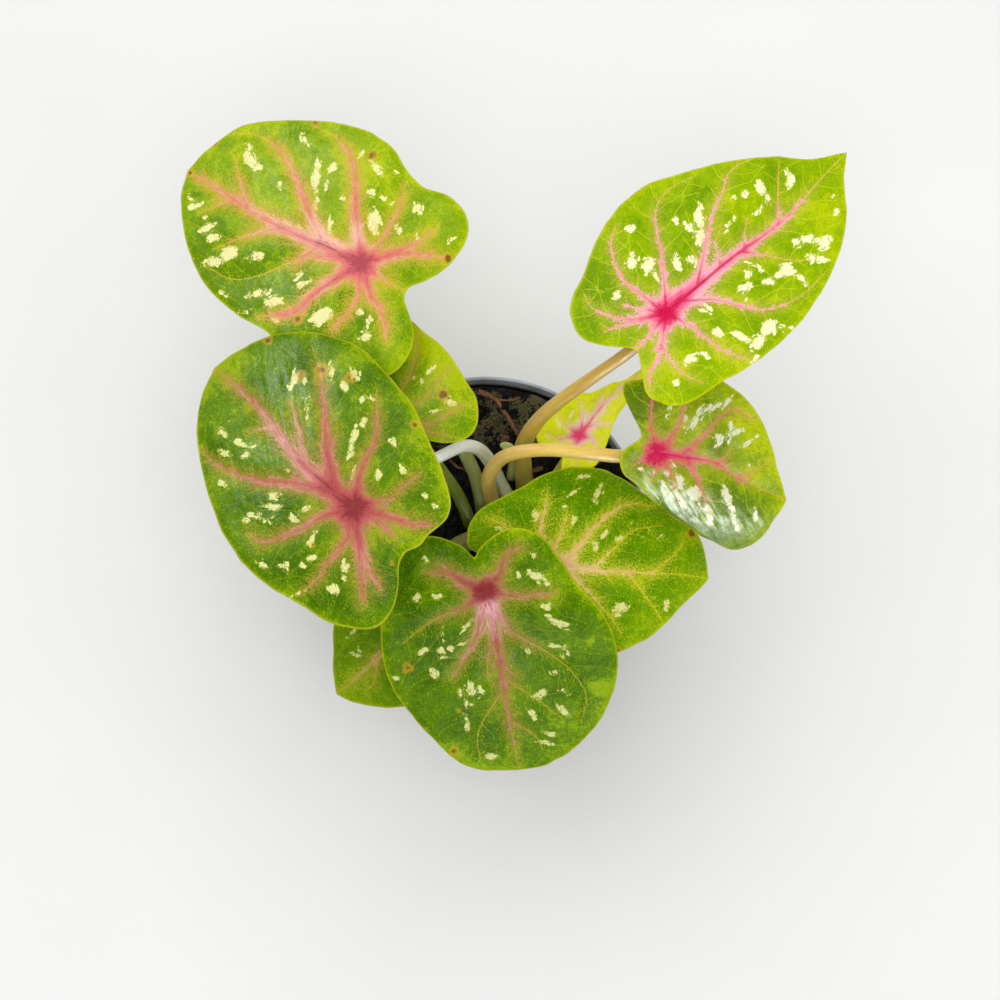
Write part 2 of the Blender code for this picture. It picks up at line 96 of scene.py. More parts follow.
# The photograph's view: the camera looks down at the pot from a little in front
CAMERA_ELEVATION = 78.0
CAMERA_DISTANCE = 0.6
CAMERA_TARGET = (0.00264, 0.006094, 0.053295)
PICTURE_SIDE = 1000.0
FOCAL_LENGTH_IN_PIXELS = 3180.0
SENSOR_WIDTH = 36.0

# A blade's form: the junction with its stalk; turn of the midrib about Z, droop of its tip and roll about it
# in degrees; curvatures per millimetre toward the tip, the lobes and the two sides; crease is the slope of
# the fold at the midrib; wave is (height, count, phase in degrees); edge gives the reach of the margin from
# the junction at some angles from the midrib, positive to the left seen from above.
Leaf = namedtuple("Leaf", "junction turn droop roll tip_bend lobe_bend side_bend crease wave edge")
LEAVES = {
    "upper_left": Leaf((-22.5, 43.5, 84), 147, 12, -4, 0.003, 0.005, (0.007, 0.007), 0.14, (0.9, 5, 40), {
        0: 41.8, 6: 40.2, 14: 37.2, 33: 31, 54: 24, 64: 21.6, 80: 21, 115: 21.3, 143: 21.3, 157: 17.5,
        168: 11.5, 182: 10, 196: 12.8, 210: 16.8, 228: 20.7, 247: 20.3, 266: 18, 280: 20, 287: 22.2,
        300: 25.5, 320: 30.7, 332: 35, 342: 39.2, 352: 40.8}),
    "left": Leaf((-23, -4, 94), 133, 12, -6, 0.0035, 0.005, (0.008, 0.008), 0.14, (0.8, 4, 100), {
        0: 41, 12: 37, 30: 30, 52: 24.7, 80: 21, 105: 19.4, 130: 21, 150: 21.4, 162: 18.2, 172: 14.1,
        184: 12.8, 195: 14.1, 203: 14.4, 218: 16.8, 248: 17, 270: 18, 287: 21.1, 300: 24, 322: 32.7,
        342: 38.6}),
    "behind": Leaf((-16, 16, 81), 113, 8, -4, 0.004, 0.006, (0.009, 0.009), 0.14, (0.6, 4, 0), {
        0: 26.2, 20: 21.5, 45: 17, 75: 14.5, 110: 13.5, 138: 12, 160: 8.5, 180: 6, 200: 6.5, 214: 10.6,
        220: 12.4, 228: 14, 250: 14.8, 277: 13.9, 310: 15.6, 320: 16.6, 331: 18.8, 346: 21}),
    "upper_right": Leaf((32, 30.5, 97), 44, 4, 0, 0.002, 0.005, (0.006, 0.006), 0.14, (0.8, 5, 0), {
        0: 47, 3: 42.6, 13: 36.3, 30: 29.2, 55: 24.2, 82: 19, 104: 16.4, 140: 16.8, 155: 15.3, 163: 13,
        180: 9.1, 196: 9.5, 205: 12, 211: 14.8, 222: 16.6, 270: 16.1, 300: 20.5, 325: 28, 348: 39.2,
        356: 43.2}),
    "right": Leaf((31, 9.5, 78), -17, 18, 20, 0.005, 0.006, (0.012, 0.045), 0.2, (0.6, 4, 200), {
        0: 27.8, 8: 24.8, 20: 22.5, 38: 20.4, 58: 18.6, 85: 16.4, 112: 14.2, 125: 14.1, 133: 14.4, 138: 14.2,
        142: 12.4, 146: 6.4, 151: 4.8, 160: 4.4, 180: 5, 204: 6.6, 232: 7, 258: 6.8, 284: 8.2, 307: 12.6,
        318: 16.6, 326: 22, 331: 25.9, 342: 27.6, 352: 27.3}),
    "young": Leaf((17.5, 17, 60), 46, -2, 0, 0.006, 0.006, (0, 0), 0.5, (0.3, 4, 0), {
        0: 22, 3: 16.6, 12: 12, 25: 8.8, 50: 7.8, 110: 7.8, 140: 8, 160: 7, 178: 4.8, 187: 5.2, 196: 7.2,
        220: 8, 248: 7, 285: 5.6, 315: 5.8, 335: 7.2, 347: 10, 355: 15.5}),
    "lower_right": Leaf((12, -8.5, 67), -1, 16, 0, 0.005, 0.006, (0.009, 0.009), 0.14, (0.8, 5, 60), {
        0: 32.3, 13: 31.2, 35: 24.5, 60: 21.2, 85: 17.7, 116: 14.9, 137: 15.4, 150: 16.5, 166: 16.2,
        174: 14.8, 181: 9.4, 190: 6, 202: 6.5, 215: 12.5, 240: 15.5, 270: 17.6, 295: 19.5, 311: 20.8,
        330: 23.7, 350: 28}),
    "front": Leaf((0, -16.5, 81), -78, 32, 0, 0.005, 0.006, (0.008, 0.008), 0.14, (0.8, 5, 150), {
        0: 39.1, 8: 39.6, 20: 37.7, 40: 31.6, 60: 24.2, 80: 17, 100: 14.8, 130: 14.2, 150: 12.4, 165: 9.7,
        178: 7.9, 188: 7, 194: 9.2, 200: 11, 212: 14.8, 240: 17.4, 265: 18.6, 285: 20.8, 310: 25.6, 330: 30.3,
        346: 36.6}),
    "lower_left": Leaf((-11, -17, 63), -141, 22, 0, 0.004, 0.006, (0.009, 0.009), 0.14, (0.6, 4, 0), {
        0: 24.3, 12: 22, 32: 18.7, 60: 16.3, 95: 14.5, 130: 13.5, 150: 11, 168: 7, 180: 5.5, 192: 7, 210: 11,
        230: 13.5, 265: 14.5, 300: 16.3, 327: 18.5, 345: 21}),
}

# Each stalk, and the sheath of the next shoot: radius at the foot and at the top, and the points that it
# passes, the first one straight above its foot
STALKS = {
    "upper_left": (1.4, 1.1, [
        (-0.8, 5.4, 51), (-2, 10, 57.5), (-4, 13.5, 61.5), (-8, 20.5, 67), (-12, 27, 70), (-14.6, 33, 73.5),
        (-16.8, 38.2, 77.5)]),
    "left": (1.5, 1, [
        (4.6, 6, 50.5), (2.4, 9.5, 55.5), (0.6, 12, 61), (-1.5, 12.8, 67.5), (-4, 12, 73), (-7, 9.8, 77),
        (-10.5, 6.8, 81.5), (-16, 1.5, 88)]),
    "behind": (1.4, 1, [(-3.2, 2.4, 50.5), (-5.2, 6, 58), (-8.5, 9.5, 66), (-12.5, 13, 74)]),
    "upper_right": (2, 1.1, [
        (7.4, 8.8, 50.5), (7, 11, 58), (7, 13.5, 67), (9.5, 16, 76), (14, 18.5, 83), (20, 21.5, 89),
        (26, 25, 93)]),
    "right": (1.5, 1.2, [
        (2.2, 3, 51), (1, 6, 57), (0.5, 8, 64), (2.5, 10, 70), (5.5, 10.5, 74), (11.5, 10.5, 76.5),
        (19, 9.8, 76.5), (25, 9.6, 75.3)]),
    "young": (1.2, 0.8, [(10.4, 4.6, 50.5), (12.2, 9, 54), (14.8, 13, 56.5)]),
    "lower_right": (1.6, 1.1, [(8.7, -0.6, 51), (10, -4, 59)]),
    "front": (1.6, 1.15, [(5, -1.8, 51), (4.5, -6.5, 60), (3.2, -11.3, 69), (1.4, -14.6, 76)]),
    "lower_left": (2.3, 1.4, [(0.3, -1.6, 50.5), (-2.9, -1.8, 53), (-6.5, -4, 55), (-9.3, -9.5, 58.5)]),
    "sheath": (1.2, 0.9, [(4.9, 11.3, 50.5), (5.1, 13.2, 55.5), (4.4, 14.8, 59), (2.7, 15.2, 60.4)]),
}

# The marks of each leaf, in its own plane: x from the junction along the midrib, y to the left of it. Veins,
# in tenths of a millimetre, the midrib first: half-width of the pink at the start and at its end, the pink
# share of the vein in hundredths, then x and y of its points in turn.
VEINS = {
    "upper_left": [
        (26, 5, 93, 0, 0, 50, 2, 150, 13, 220, 14, 415, 1),
        (16, 4.5, 72, 80, 0, 120, -20, 260, -110, 330, -120, 370, -105),
        (19, 5, 72, 5, -5, 60, -72, 90, -118, 130, -160, 180, -182, 240, -184),
        (8, 2.5, 80, -4, -10, -10, -45, 2, -140, 12, -168), (17, 5, 85, -5, -6, -45, -42, -132, -86),
        (12, 3, 90, -40, -40, -68, -74, -86, -115), (16, 2, 28, 40, 8, 90, 34, 165, 116, 210, 143, 280, 142),
        (20, 11, 80, 5, 10, 30, 58, 46, 100, 54, 136, 115, 176), (9, 3.5, 90, -6, 10, -27, 50, -25, 136),
        (17, 5, 90, -6, 7, -46, 40, -90, 62, -122, 98), (10, 2, 70, -10, 1, -50, 5, -92, 4),
        (12, 2.5, 55, 170, 14, 205, 42, 270, 110), (7, 1.5, 40, 290, 10, 315, 36, 336, 64),
        (8, 1.5, 50, 260, 10, 330, -50, 360, -70), (10, 3, 90, 90, 16, 102, 40, 106, 66)],
    "left": [
        (26, 5, 90, 0, 0, 100, 9, 160, 9, 280, -5, 405, 0),
        (19, 5, 78, 50, 0, 105, -32, 150, -66, 240, -126, 290, -150), (10, 3, 80, 130, 4, 170, -20, 240, -56),
        (16, 5, 75, 8, -8, 38, -48, 67, -114, 140, -178), (9, 2.5, 90, -3, -10, -28, -40, -42, -120),
        (19, 8, 95, -6, -4, -86, -46, -120, -72), (10, 5, 95, -8, -2, -50, -11, -90, -15),
        (19, 4.5, 85, 60, 12, 105, 37, 150, 74, 200, 102, 250, 118, 300, 122),
        (17, 4.5, 90, 6, 8, 29, 48, 40, 90, 78, 157, 110, 163),
        (14, 3.5, 85, -4, 10, -29, 40, -40, 90, -48, 134, -44, 170), (20, 7, 95, -6, 6, -46, 32, -136, 104),
        (12, 6, 95, -46, 30, -90, 53, -140, 64), (12, 3, 80, 80, -4, 108, -34, 126, -70),
        (7, 2, 60, 220, 2, 240, 18, 250, 36)],
    "behind": [
        (16, 3, 80, 0, 0, 70, 2, 260, 0), (10, 2, 50, 20, 2, 60, 40, 100, 80, 150, 104),
        (10, 2, 50, 20, -2, 50, -40, 90, -76, 140, -96, 180, -90), (9, 3, 70, 0, -5, 4, -50, 44, -116),
        (11, 6, 75, -6, -5, -36, -34, -34, -120), (9, 3, 70, 0, 5, -10, 50, -16, 100),
        (10, 3, 70, -6, 4, -50, 36, -84, 56), (10, 4, 80, -6, -4, -50, -38, -80, -70)],
    "upper_right": [
        (28, 3.5, 72, 0, 1, 150, -5, 280, -17, 400, -5, 465, 0),
        (11.5, 1.2, 72, 80, 1, 180, 68, 230, 90, 275, 112, 330, 100),
        (10.8, 1.7, 62, 8, 8, 70, 81, 92, 116, 130, 155, 170, 162, 220, 150),
        (9.4, 1.7, 82, -2, 8, -8, 50, -14, 100, 15, 156, 50, 178),
        (12.2, 1.5, 75, -5, 4, -48, 30, -88, 96, -80, 126), (8.6, 1.7, 90, -6, 3, -54, 29, -102, 50),
        (7.9, 1.5, 95, -6, 8, -34, 46, -46, 66),
        (12.2, 1.5, 62, 40, -4, 77, -36, 130, -114, 194, -140, 270, -138),
        (8.6, 1.2, 90, 5, -8, 15, -50, 20, -100, 34, -140, 46, -160),
        (10.1, 2.5, 90, -6, -5, -40, -31, -70, -49, -100, -61, -120, -80),
        (5.8, 1, 70, -48, -36, -57, -70, -56, -110, -44, -136), (7.2, 2.5, 90, -8, -3, -48, -8, -89, -9),
        (9.4, 0.7, 30, 185, -11, 210, -42, 245, -88, 290, -115), (6.5, 0.7, 40, 190, -9, 206, 8, 230, 26),
        (5, 0.7, 30, 270, -16, 310, 24, 355, 66), (6.5, 1, 50, 135, -3, 150, 26, 184, 46)],
    "right": [
        (22, 3, 62, 0, 2, 100, 21, 170, 9, 275, 0),
        (11.7, 1.5, 85, 44, 10, 62, 45, 90, 115, 110, 126, 150, 115),
        (12.5, 1.8, 90, 6, 10, 15, 50, 13, 90, 19, 130), (12.5, 2.1, 90, -3, 7, -25, 35, -56, 114),
        (11.7, 1.5, 90, 60, 10, 88, -14, 134, -64), (8.6, 1.2, 80, 16, 0, 44, -30, 70, -58),
        (9.4, 2.4, 90, -4, -2, -16, -16, -30, -34), (7.8, 1.8, 80, 4, -4, 10, -26, 11, -48),
        (7, 1.2, 80, 116, 21, 126, 38, 128, 54), (5.5, 0.9, 30, 170, 9, 195, 34, 210, 60)],
    "young": [
        (13, 2.5, 70, 0, 0, 60, 7, 210, 0), (11, 2.5, 90, 8, 3, 29, 18, 46, 42),
        (8, 2, 60, 0, 4, -5, 30, 0, 56), (9, 2.5, 80, -3, 3, -29, 18, -44, 44),
        (11, 3, 90, 3, -3, 10, -22, 8, -40), (9, 2, 80, 26, 0, 44, -16, 56, -34),
        (9, 3, 80, -4, -3, -26, -14, -44, -34), (6, 1.5, 30, 64, 8, 86, 24, 104, 28)],
    "lower_right": [
        (22, 2.5, 55, 0, -2, 80, -8, 270, 0, 320, 0),
        (15, 3.5, 75, 24, 0, 54, 34, 80, 70, 150, 122, 210, 126),
        (12, 3, 85, -4, 8, -20, 50, -15, 90, -10, 124), (8, 2, 80, 6, 26, 19, 60, 27, 90),
        (6, 1.5, 25, 80, -6, 120, 33, 160, 72, 210, 86), (16, 2.5, 55, 26, -6, 105, -80, 140, -120),
        (5, 1, 10, 150, -6, 190, -50, 224, -86), (12, 3, 70, 0, -8, 6, -60, 24, -120, 56, -154),
        (12, 3, 70, -6, -6, -40, -44, -70, -86, -76, -120), (13, 3, 70, -6, 6, -100, 66, -124, 74),
        (5, 1, 10, 200, -3, 240, 30, 265, 60)],
    "front": [
        (19, 2, 82, 0, 1, 100, 3, 200, 0, 390, 0),
        (16, 2, 36, 24, 5, 76, 26, 150, 95, 200, 129, 260, 146, 310, 130),
        (12, 4.5, 95, 4, 8, 15, 40, 30, 120), (18, 6, 95, -5, 6, -30, 32, -56, 44, -72, 76),
        (18, 2.5, 95, 24, -4, 70, -25, 152, -86), (17, 2, 55, 4, -6, 20, -40, 26, -80, 40, -120, 66, -162),
        (18, 6, 95, -5, -6, -30, -38, -50, -60, -56, -92), (12, 5, 95, -26, -34, -50, -52, -68, -70),
        (9, 2, 70, 144, 3, 164, 14, 180, 26), (4, 1, 10, 176, 2, 236, 54, 280, 84),
        (5, 1, 10, 200, 0, 240, -36, 290, -64, 340, -66), (4, 1, 10, 270, 0, 310, 36, 356, 50),
        (8, 2, 50, 100, -2, 130, -18, 170, -26)],
    "lower_left": [
        (14, 2.5, 80, 0, 1, 190, 3, 240, 0), (10, 2, 60, 16, 3, 50, 40, 90, 80, 140, 100),
        (10, 2, 60, 16, -3, 50, -44, 100, -80, 150, -90), (9, 2.5, 70, 0, 6, 4, 60, 20, 110),
        (9, 2.5, 70, 0, -6, 4, -60, 20, -110), (10, 3, 80, -5, 5, -44, 44, -70, 80),
        (10, 3, 80, -5, -5, -44, -44, -70, -80), (3, 1, 10, 130, 3, 160, 30, 190, 36)],
}
# Blotches, in tenths of a millimetre: x, y, half-length, half-width and the angle in degrees, or x, y and
# the radius of round ones
BLOTCHES = {
    "upper_left": [
        (-85, 113, 12, 9, 20), (-78, 94, 11, 4.5, -60), (-75, 80, 5), (-50, 77, 8), (5, 124, 22, 15, 60),
        (73, 88, 15, 8, 65), (89, 75, 11, 7, 60), (81, 168, 7), (104, 140, 17, 12, 40),
        (125, 130, 8, 5.5, 70), (143, 142, 14, 9, 45), (158, 155, 5), (146, 183, 9, 4.5, 30),
        (203, 173, 12, 3.5, 0), (180, 82, 12, 6, 20), (196, 94, 10, 5, 70), (236, 104, 19, 15, 50),
        (252, 130, 18, 8, 30), (279, 93, 14, 9, 40), (300, 82, 17, 8, 40), (318, 66, 6), (352, 57, 15, 8, 60),
        (370, 46, 7, 4, 0), (286, -64, 10, 8, 20), (310, -71, 22, 11, -25), (330, -95, 13, 6, -50),
        (223, -52, 9, 5.5, -40), (95, -34, 17, 6, -60), (144, -60, 23, 6, -60), (170, -102, 34, 9, -62),
        (152, -129, 12, 9, 70), (143, -100, 9, 4, -70), (98, -86, 4), (21, -75, 26, 13, -48),
        (45, -100, 10, 4, -60), (52, -120, 7), (30, -122, 5), (11, -122, 7, 4, 80), (-33, -83, 9, 6, -70),
        (-20, -91, 8, 5, -60), (-35, -140, 14, 10, -40), (-125, -117, 6, 3.5, 70), (70, -163, 18, 7, -15),
        (40, -173, 10, 3.5, 0), (115, -175, 6, 3.5, 80), (235, -152, 13, 6, -30), (-66, -93, 8, 4, -50)],
    "left": [
        (42, 184, 11, 6, 0), (2, 157, 10, 4, -30), (13, 160, 6, 4, 60), (-13, 132, 6), (-82, 126, 11, 8, -20),
        (-82, 99, 5), (-68, 84, 12, 9, -60), (-15, 113, 8, 6, 60), (9, 89, 12, 7, -60), (63, 88, 12, 8, 0),
        (61, 61, 13, 7, 70), (96, 109, 8, 3, 80), (106, 127, 12, 4, 0), (125, 136, 16, 5, 35), (130, 149, 5),
        (130, 109, 9, 4, 20), (110, 100, 16, 4.5, 45), (123, 85, 10, 7, 45), (215, 135, 11, 4.5, 10),
        (255, 95, 12, 6, 10), (220, 68, 10, 6, 50), (245, 63, 15, 8, 30), (225, 50, 6, 4.5, 60),
        (287, 72, 11, 5, 0), (300, 60, 8, 3.5, 80), (143, 38, 8, 3.5, 20), (90, -80, 28, 7, -55),
        (46, -41, 10, 3, -55), (106, -120, 11, 8, -30), (8, -72, 10, 5, -45), (-18, -110, 11, 5, -20),
        (-100, -103, 6, 4, 20), (-78, -102, 4), (195, -60, 20, 3.5, -40), (230, -85, 15, 3.5, -40),
        (260, -80, 22, 7, -55), (183, -138, 9), (225, -143, 15, 7, -45), (139, -143, 9, 4.5, -60),
        (133, -160, 9, 5, 0), (190, -170, 14, 8, -20), (33, -130, 8, 5.5, 0), (-44, 168, 12, 3, 80)],
    "behind": [
        (-22, -98, 11, 8, 30), (-10, -88, 6, 3.5, 0), (50, -90, 10, 3.5, -60), (-23, -62, 8, 2.5, 80),
        (35, -65, 7, 2.5, 0), (50, -54, 4), (90, 50, 14, 6, 45), (130, 54, 12, 6, 40), (50, 74, 10, 7, 50),
        (-30, 76, 10, 6, 70), (160, -44, 12, 5, -40)],
    "upper_right": [
        (19, 107, 16, 10, 30), (61, 154, 9), (37, 83, 19, 12, 20), (36, 62, 10, 5, 75), (-42, 84, 8, 6, -40),
        (133, 110, 9, 6, 80), (140, 84, 12, 9, 60), (166, 84, 26, 10, 52), (144, 58, 15, 12, 40),
        (77, 49, 15, 10, 60), (88, 63, 10, 5, 70), (101, 38, 12, 7, 60), (200, 42, 13, 5, 10), (240, 72, 5),
        (260, 62, 5), (254, 25, 16, 7, 20), (292, 54, 15, 8, 80), (288, 30, 8, 4, 60), (344, 28, 15, 9, 35),
        (351, 41, 8, 5, 60), (47, -40, 13, 4.5, -70), (61, -42, 12, 4, -80), (135, -63, 14, 9, 0),
        (158, -47, 8, 7, 30), (177, -45, 16, 6, -68), (122, -80, 5), (173, -83, 12, 9, -40),
        (-30, -89, 14, 9, 0), (-5, -106, 13, 6, -60), (-80, -104, 5), (38, -90, 12, 9, -80),
        (63, -125, 16, 8, -68), (76, -150, 16, 11, 10), (110, -144, 20, 14, 20), (129, -160, 16, 7, -50),
        (50, -168, 8, 4, 0), (200, -85, 9), (218, -90, 15), (223, -114, 15, 5, -85), (222, -133, 4),
        (269, -65, 8), (288, -71, 12, 9, -30), (298, -86, 10, 7, 0), (269, -102, 13, 8, 0),
        (280, -116, 13, 9, -50), (306, -98, 15, 10, 0), (385, -45, 5, 3.5, 0), (365, -70, 7, 4.5, 0)],
    "right": [
        (41, 82, 24, 7, 80), (52, 108, 13, 4.5, 60), (67, 119, 13, 4, 60), (87, 134, 14, 6, 72),
        (23, 81, 12, 3, -72), (-12, 90, 14, 4, -80), (-10, 68, 7, 3.5, 80), (108, 95, 9, 5, -60),
        (125, 90, 12, 9, 40), (115, 74, 9, 3.5, -60), (153, 76, 18, 6, 55), (97, 66, 14, 8, 75),
        (180, 43, 7, 2.5, 50), (35, -7, 8, 3.5, -30), (96, -43, 16, 10, -30), (114, -59, 9, 6, -40),
        (62, -34, 15, 5, -40), (30, -26, 10, 3, -30), (156, -26, 19, 7, -45), (176, -46, 15, 5, -50),
        (143, -23, 8, 3, -70), (227, -44, 10, 4, -50), (-15, -39, 5), (80, -64, 16, 5, -35),
        (140, -76, 16, 5, -35), (40, -50, 14, 4, -35), (200, -74, 14, 5, -35)],
    "young": [
        (18, 39, 8, 3, 10), (-22, 38, 9, 2.8, 20), (-20, -54, 5, 3.5, 0), (1, -39, 4, 2.5, 0),
        (-12, 50, 4, 2.5, 0), (60, 24, 2)],
    "lower_right": [
        (87, 137, 16, 7, 50), (80, 120, 5), (60, 165, 12, 3, 20), (40, 131, 11, 3, 40), (-33, 84, 11, 6, 50),
        (40, 82, 11, 6, 80), (18, 102, 5, 3.5, 0), (102, 58, 13, 5, 50), (135, 56, 8, 6, 30), (72, 57, 4),
        (155, 86, 9, 3.5, 40), (178, 58, 6, 3, 40), (198, 75, 4), (215, 65, 7, 2.5, 45), (84, 35, 7, 4, 80),
        (206, -49, 5), (230, -60, 7, 4, -70), (136, -73, 14, 8, 20), (127, -89, 9, 3, 10),
        (-102, 56, 9, 3, -20), (-30, -90, 12, 7, -60), (50, -100, 14, 7, -50), (-80, -30, 10, 6, 20)],
    "front": [
        (-10, 95, 18, 9, 50), (0, 109, 10, 4, 20), (-22, 82, 5), (-20, 62, 6, 3.5, 0), (-53, 97, 6, 3, 0),
        (48, 102, 11, 7, 80), (85, 120, 23, 8, 48), (76, 108, 8, 5.5, 40), (133, 110, 12, 5, 80),
        (146, 123, 9, 3, 30), (156, 115, 11, 4.5, 20), (187, 95, 7, 5, 30), (233, 108, 9, 4.5, 45),
        (273, 100, 20, 6.5, 30), (228, 64, 14, 6, -65), (246, 60, 11, 4, 50), (268, 43, 14, 3.5, 30),
        (131, 54, 7, 3, 30), (318, 67, 13, 5, 60), (337, 56, 15, 5, 55), (338, -48, 13, 8, 60),
        (186, -42, 8, 6, 30), (178, -60, 14, 8, 20), (186, -79, 8, 3.5, 0), (206, -60, 9, 4.5, -60),
        (216, -73, 14, 3.5, -10), (250, -78, 16, 5, 0), (58, -46, 11, 3.5, -50), (90, -60, 8, 2.5, -70),
        (94, -80, 5), (95, -100, 8, 6, 30), (110, -93, 6, 3.5, 80), (88, -128, 9, 5, -60),
        (137, -118, 14, 7, 25), (60, -92, 11, 6, 0), (-15, -89, 7, 4.5, 70), (-85, -92, 5, 3.5, 20),
        (-17, -122, 11, 8, -30), (134, -189, 7, 4.5, 70)],
    "lower_left": [
        (135, -63, 12, 4, -15), (145, -36, 6, 3.5, 70), (160, -30, 8, 3.5, -50), (60, 60, 12, 6, 45),
        (60, -70, 13, 7, -45), (-20, 70, 10, 6, 70), (-20, -80, 10, 6, -70), (90, 36, 10, 5, 40),
        (120, 64, 8, 4, 40)],
}
# Patches of tone: x, y, radius, share toward lime, or toward deep green below zero
TONES = {
    "upper_left": [
        (12, 16, 13, -0.6), (30, 14, 9, -0.5), (-3, 8, 7, -0.25), (8, -17, 8, 0.55), (-8, -13, 7, 0.35),
        (33, -11, 7, 0.35), (-6, 2, 4, 0.25), (24, -3, 6, 0.25), (20, -15, 7, 0.1)],
    "left": [
        (0, -18, 4, 0.7), (-6, -15.5, 3.5, 0.7), (10, -20, 4, 0.5), (36, 3, 6, 0.45), (39, -6, 5, 0.5),
        (18, 19, 6, 0.3), (22, -18, 5, 0.45), (-8, 1, 4, 0.35), (-6, -6, 4, 0.25), (14, 15, 10, -0.3),
        # The deep patch at (-16, 8) is a painted shadow in the left leaf's curled lobe.
        (30, -8, 8, -0.2), (-16, 8, 5, -0.4), (-3, 10, 5, -0.15)],
    "behind": [
        (2, -13, 5, 0.8), (10, -11, 5, 0.8), (-8, -12, 4, 0.3), (16, -8, 5, 0.5), (-4, -4, 4, -0.3),
        (4, 6, 8, -0.3)],
    "upper_right": [
        (-4, 12, 8, -0.5), (14, 13, 8, -0.15), (36, -8, 9, 0.55), (18, -16, 7, 0.35), (44, 0, 5, 0.3),
        (-8, -6, 5, 0.2), (0, -13, 7, 0.2), (26, 7, 4, 0.2), (30, 14, 5, -0.1)],
    "right": [
        (14, 14, 8, 0.5), (22, 5, 6, 0.65), (16, -4, 8, -0.5), (6, -6, 8, -0.4), (-3, -2, 3, -0.4),
        (-6, 8, 5, -0.5), (12, 4, 3, -0.4)],
    "young": [(4, -5, 4, -0.25), (9, 3, 4, -0.35), (3, 6.5, 4, -0.2)],
    "lower_right": [
        (24, -10, 7, 0.5), (31, 0, 4, 0.5), (12, -17, 5, 0.5), (28, 8, 4, 0.4), (3, 15, 8, -0.2),
        (6, 8, 6, -0.15)],
    "front": [
        (24, 17.4, 2.6, 1.3), (13.6, 16.9, 1, 0.8), (-0.6, 11.8, 1.6, 0.5), (34, 12, 7, 0.5), (38, 2, 5, 0.4),
        (33, -10, 6, 0.35), (10, 20, 5, 0.25), (-8, 8.5, 2, 0.4), (4, -6, 8, -0.2), (20, 6, 8, -0.15)],
    "lower_left": [(20, 5, 6, 0.2), (22, -3, 4, 0.4), (4, 8, 8, -0.3), (4, -8, 8, -0.2)],
}
# Age spots: x, y, radius, darkness
SPOTS = {
    "upper_left": [
        (9.5, -18.1, 1.4, 0.7), (4, 14.8, 1.4, 0.6), (40.2, -7, 1, 0.9), (41, 0.3, 0.5, 1),
        (7.2, 20.8, 0.8, 0.9), (-13.6, -8.6, 0.9, 0.9), (24, -19.3, 1.2, 0.7), (9.2, 0.9, 0.25, 0.6)],
    "left": [
        (3, -17.9, 1, 0.7), (24, -13.2, 2, 0.55), (26, -9.8, 1.6, 0.5), (36.5, -10.3, 1.1, 0.7),
        (0, 9.6, 1, 0.35), (19, -15.6, 1.6, 0.5), (40.6, 0.6, 0.7, 0.6), (-12.5, 2, 0.8, 0.4)],
    "behind": [(-0.3, -9.2, 1.4, 0.8)],
    "upper_right": [(2.6, -2.3, 0.3, 0.8), (38.6, 5.6, 0.5, 0.7), (-9.2, -1.6, 0.8, 0.4)],
    "right": [(27.4, 0.3, 0.5, 0.5)],
    "lower_right": [
        (28, 7.9, 1.1, 0.9), (13.4, -15.6, 1, 0.8), (16, -15.6, 1.4, 0.35), (-10, 8.9, 0.7, 0.35)],
    "front": [
        (11.6, -16.2, 1.6, 0.45), (30.8, -11, 1.4, 0.55), (22, -8.8, 0.9, 0.3), (-8, -15, 0.8, 0.5),
        (9.4, 0.6, 0.25, 0.5)],
    "lower_left": [(13.2, 2.2, 0.6, 0.3)],
}

# The colours of each leaf as 0 to 255 on the screen: deep, middle and lime green, then the pink, its pale
# and its dark shade, the tan where it feathers out, and the cream of the blotches.
COLOURS = {
    "upper_left": (
        (92, 134, 0), (136, 170, 2), (182, 202, 12), (228, 112, 112), (252, 196, 176), (172, 72, 84),
        (216, 172, 70), (246, 241, 168)),
    "left": (
        (58, 101, 0), (90, 131, 0), (152, 179, 4), (192, 88, 88), (234, 168, 160), (138, 50, 52),
        (176, 140, 62), (232, 233, 154)),
    "behind": (
        (80, 127, 0), (115, 155, 0), (176, 194, 2), (188, 130, 84), (208, 164, 110), (130, 74, 50),
        (186, 164, 60), (238, 236, 160)),
    "upper_right": (
        (110, 152, 0), (142, 178, 0), (188, 206, 2), (248, 96, 146), (255, 178, 198), (208, 10, 66),
        (246, 178, 116), (255, 252, 198)),
    "right": (
        (92, 128, 0), (142, 172, 0), (194, 210, 2), (232, 56, 108), (246, 144, 164), (210, 16, 76),
        (214, 142, 84), (240, 240, 204)),
    # The young leaf's greens are raised near white-lime to stand in for the light that shines through it in
    # its neighbours' shade: painted light.
    "young": (
        (206, 222, 0), (234, 242, 4), (246, 250, 40), (255, 104, 156), (255, 214, 216), (236, 62, 110),
        (250, 206, 130), (255, 244, 180)),
    "lower_right": (
        (78, 132, 0), (104, 152, 0), (154, 184, 6), (226, 158, 124), (246, 200, 160), (196, 104, 96),
        (218, 206, 52), (230, 226, 142)),
    "front": (
        (58, 100, 0), (88, 130, 0), (150, 182, 8), (172, 86, 76), (244, 180, 186), (138, 42, 46),
        (172, 144, 62), (226, 228, 152)),
    "lower_left": (
        (84, 128, 0), (104, 145, 1), (140, 168, 8), (206, 142, 104), (228, 180, 140), (160, 80, 70),
        (190, 170, 60), (216, 220, 144)),
}
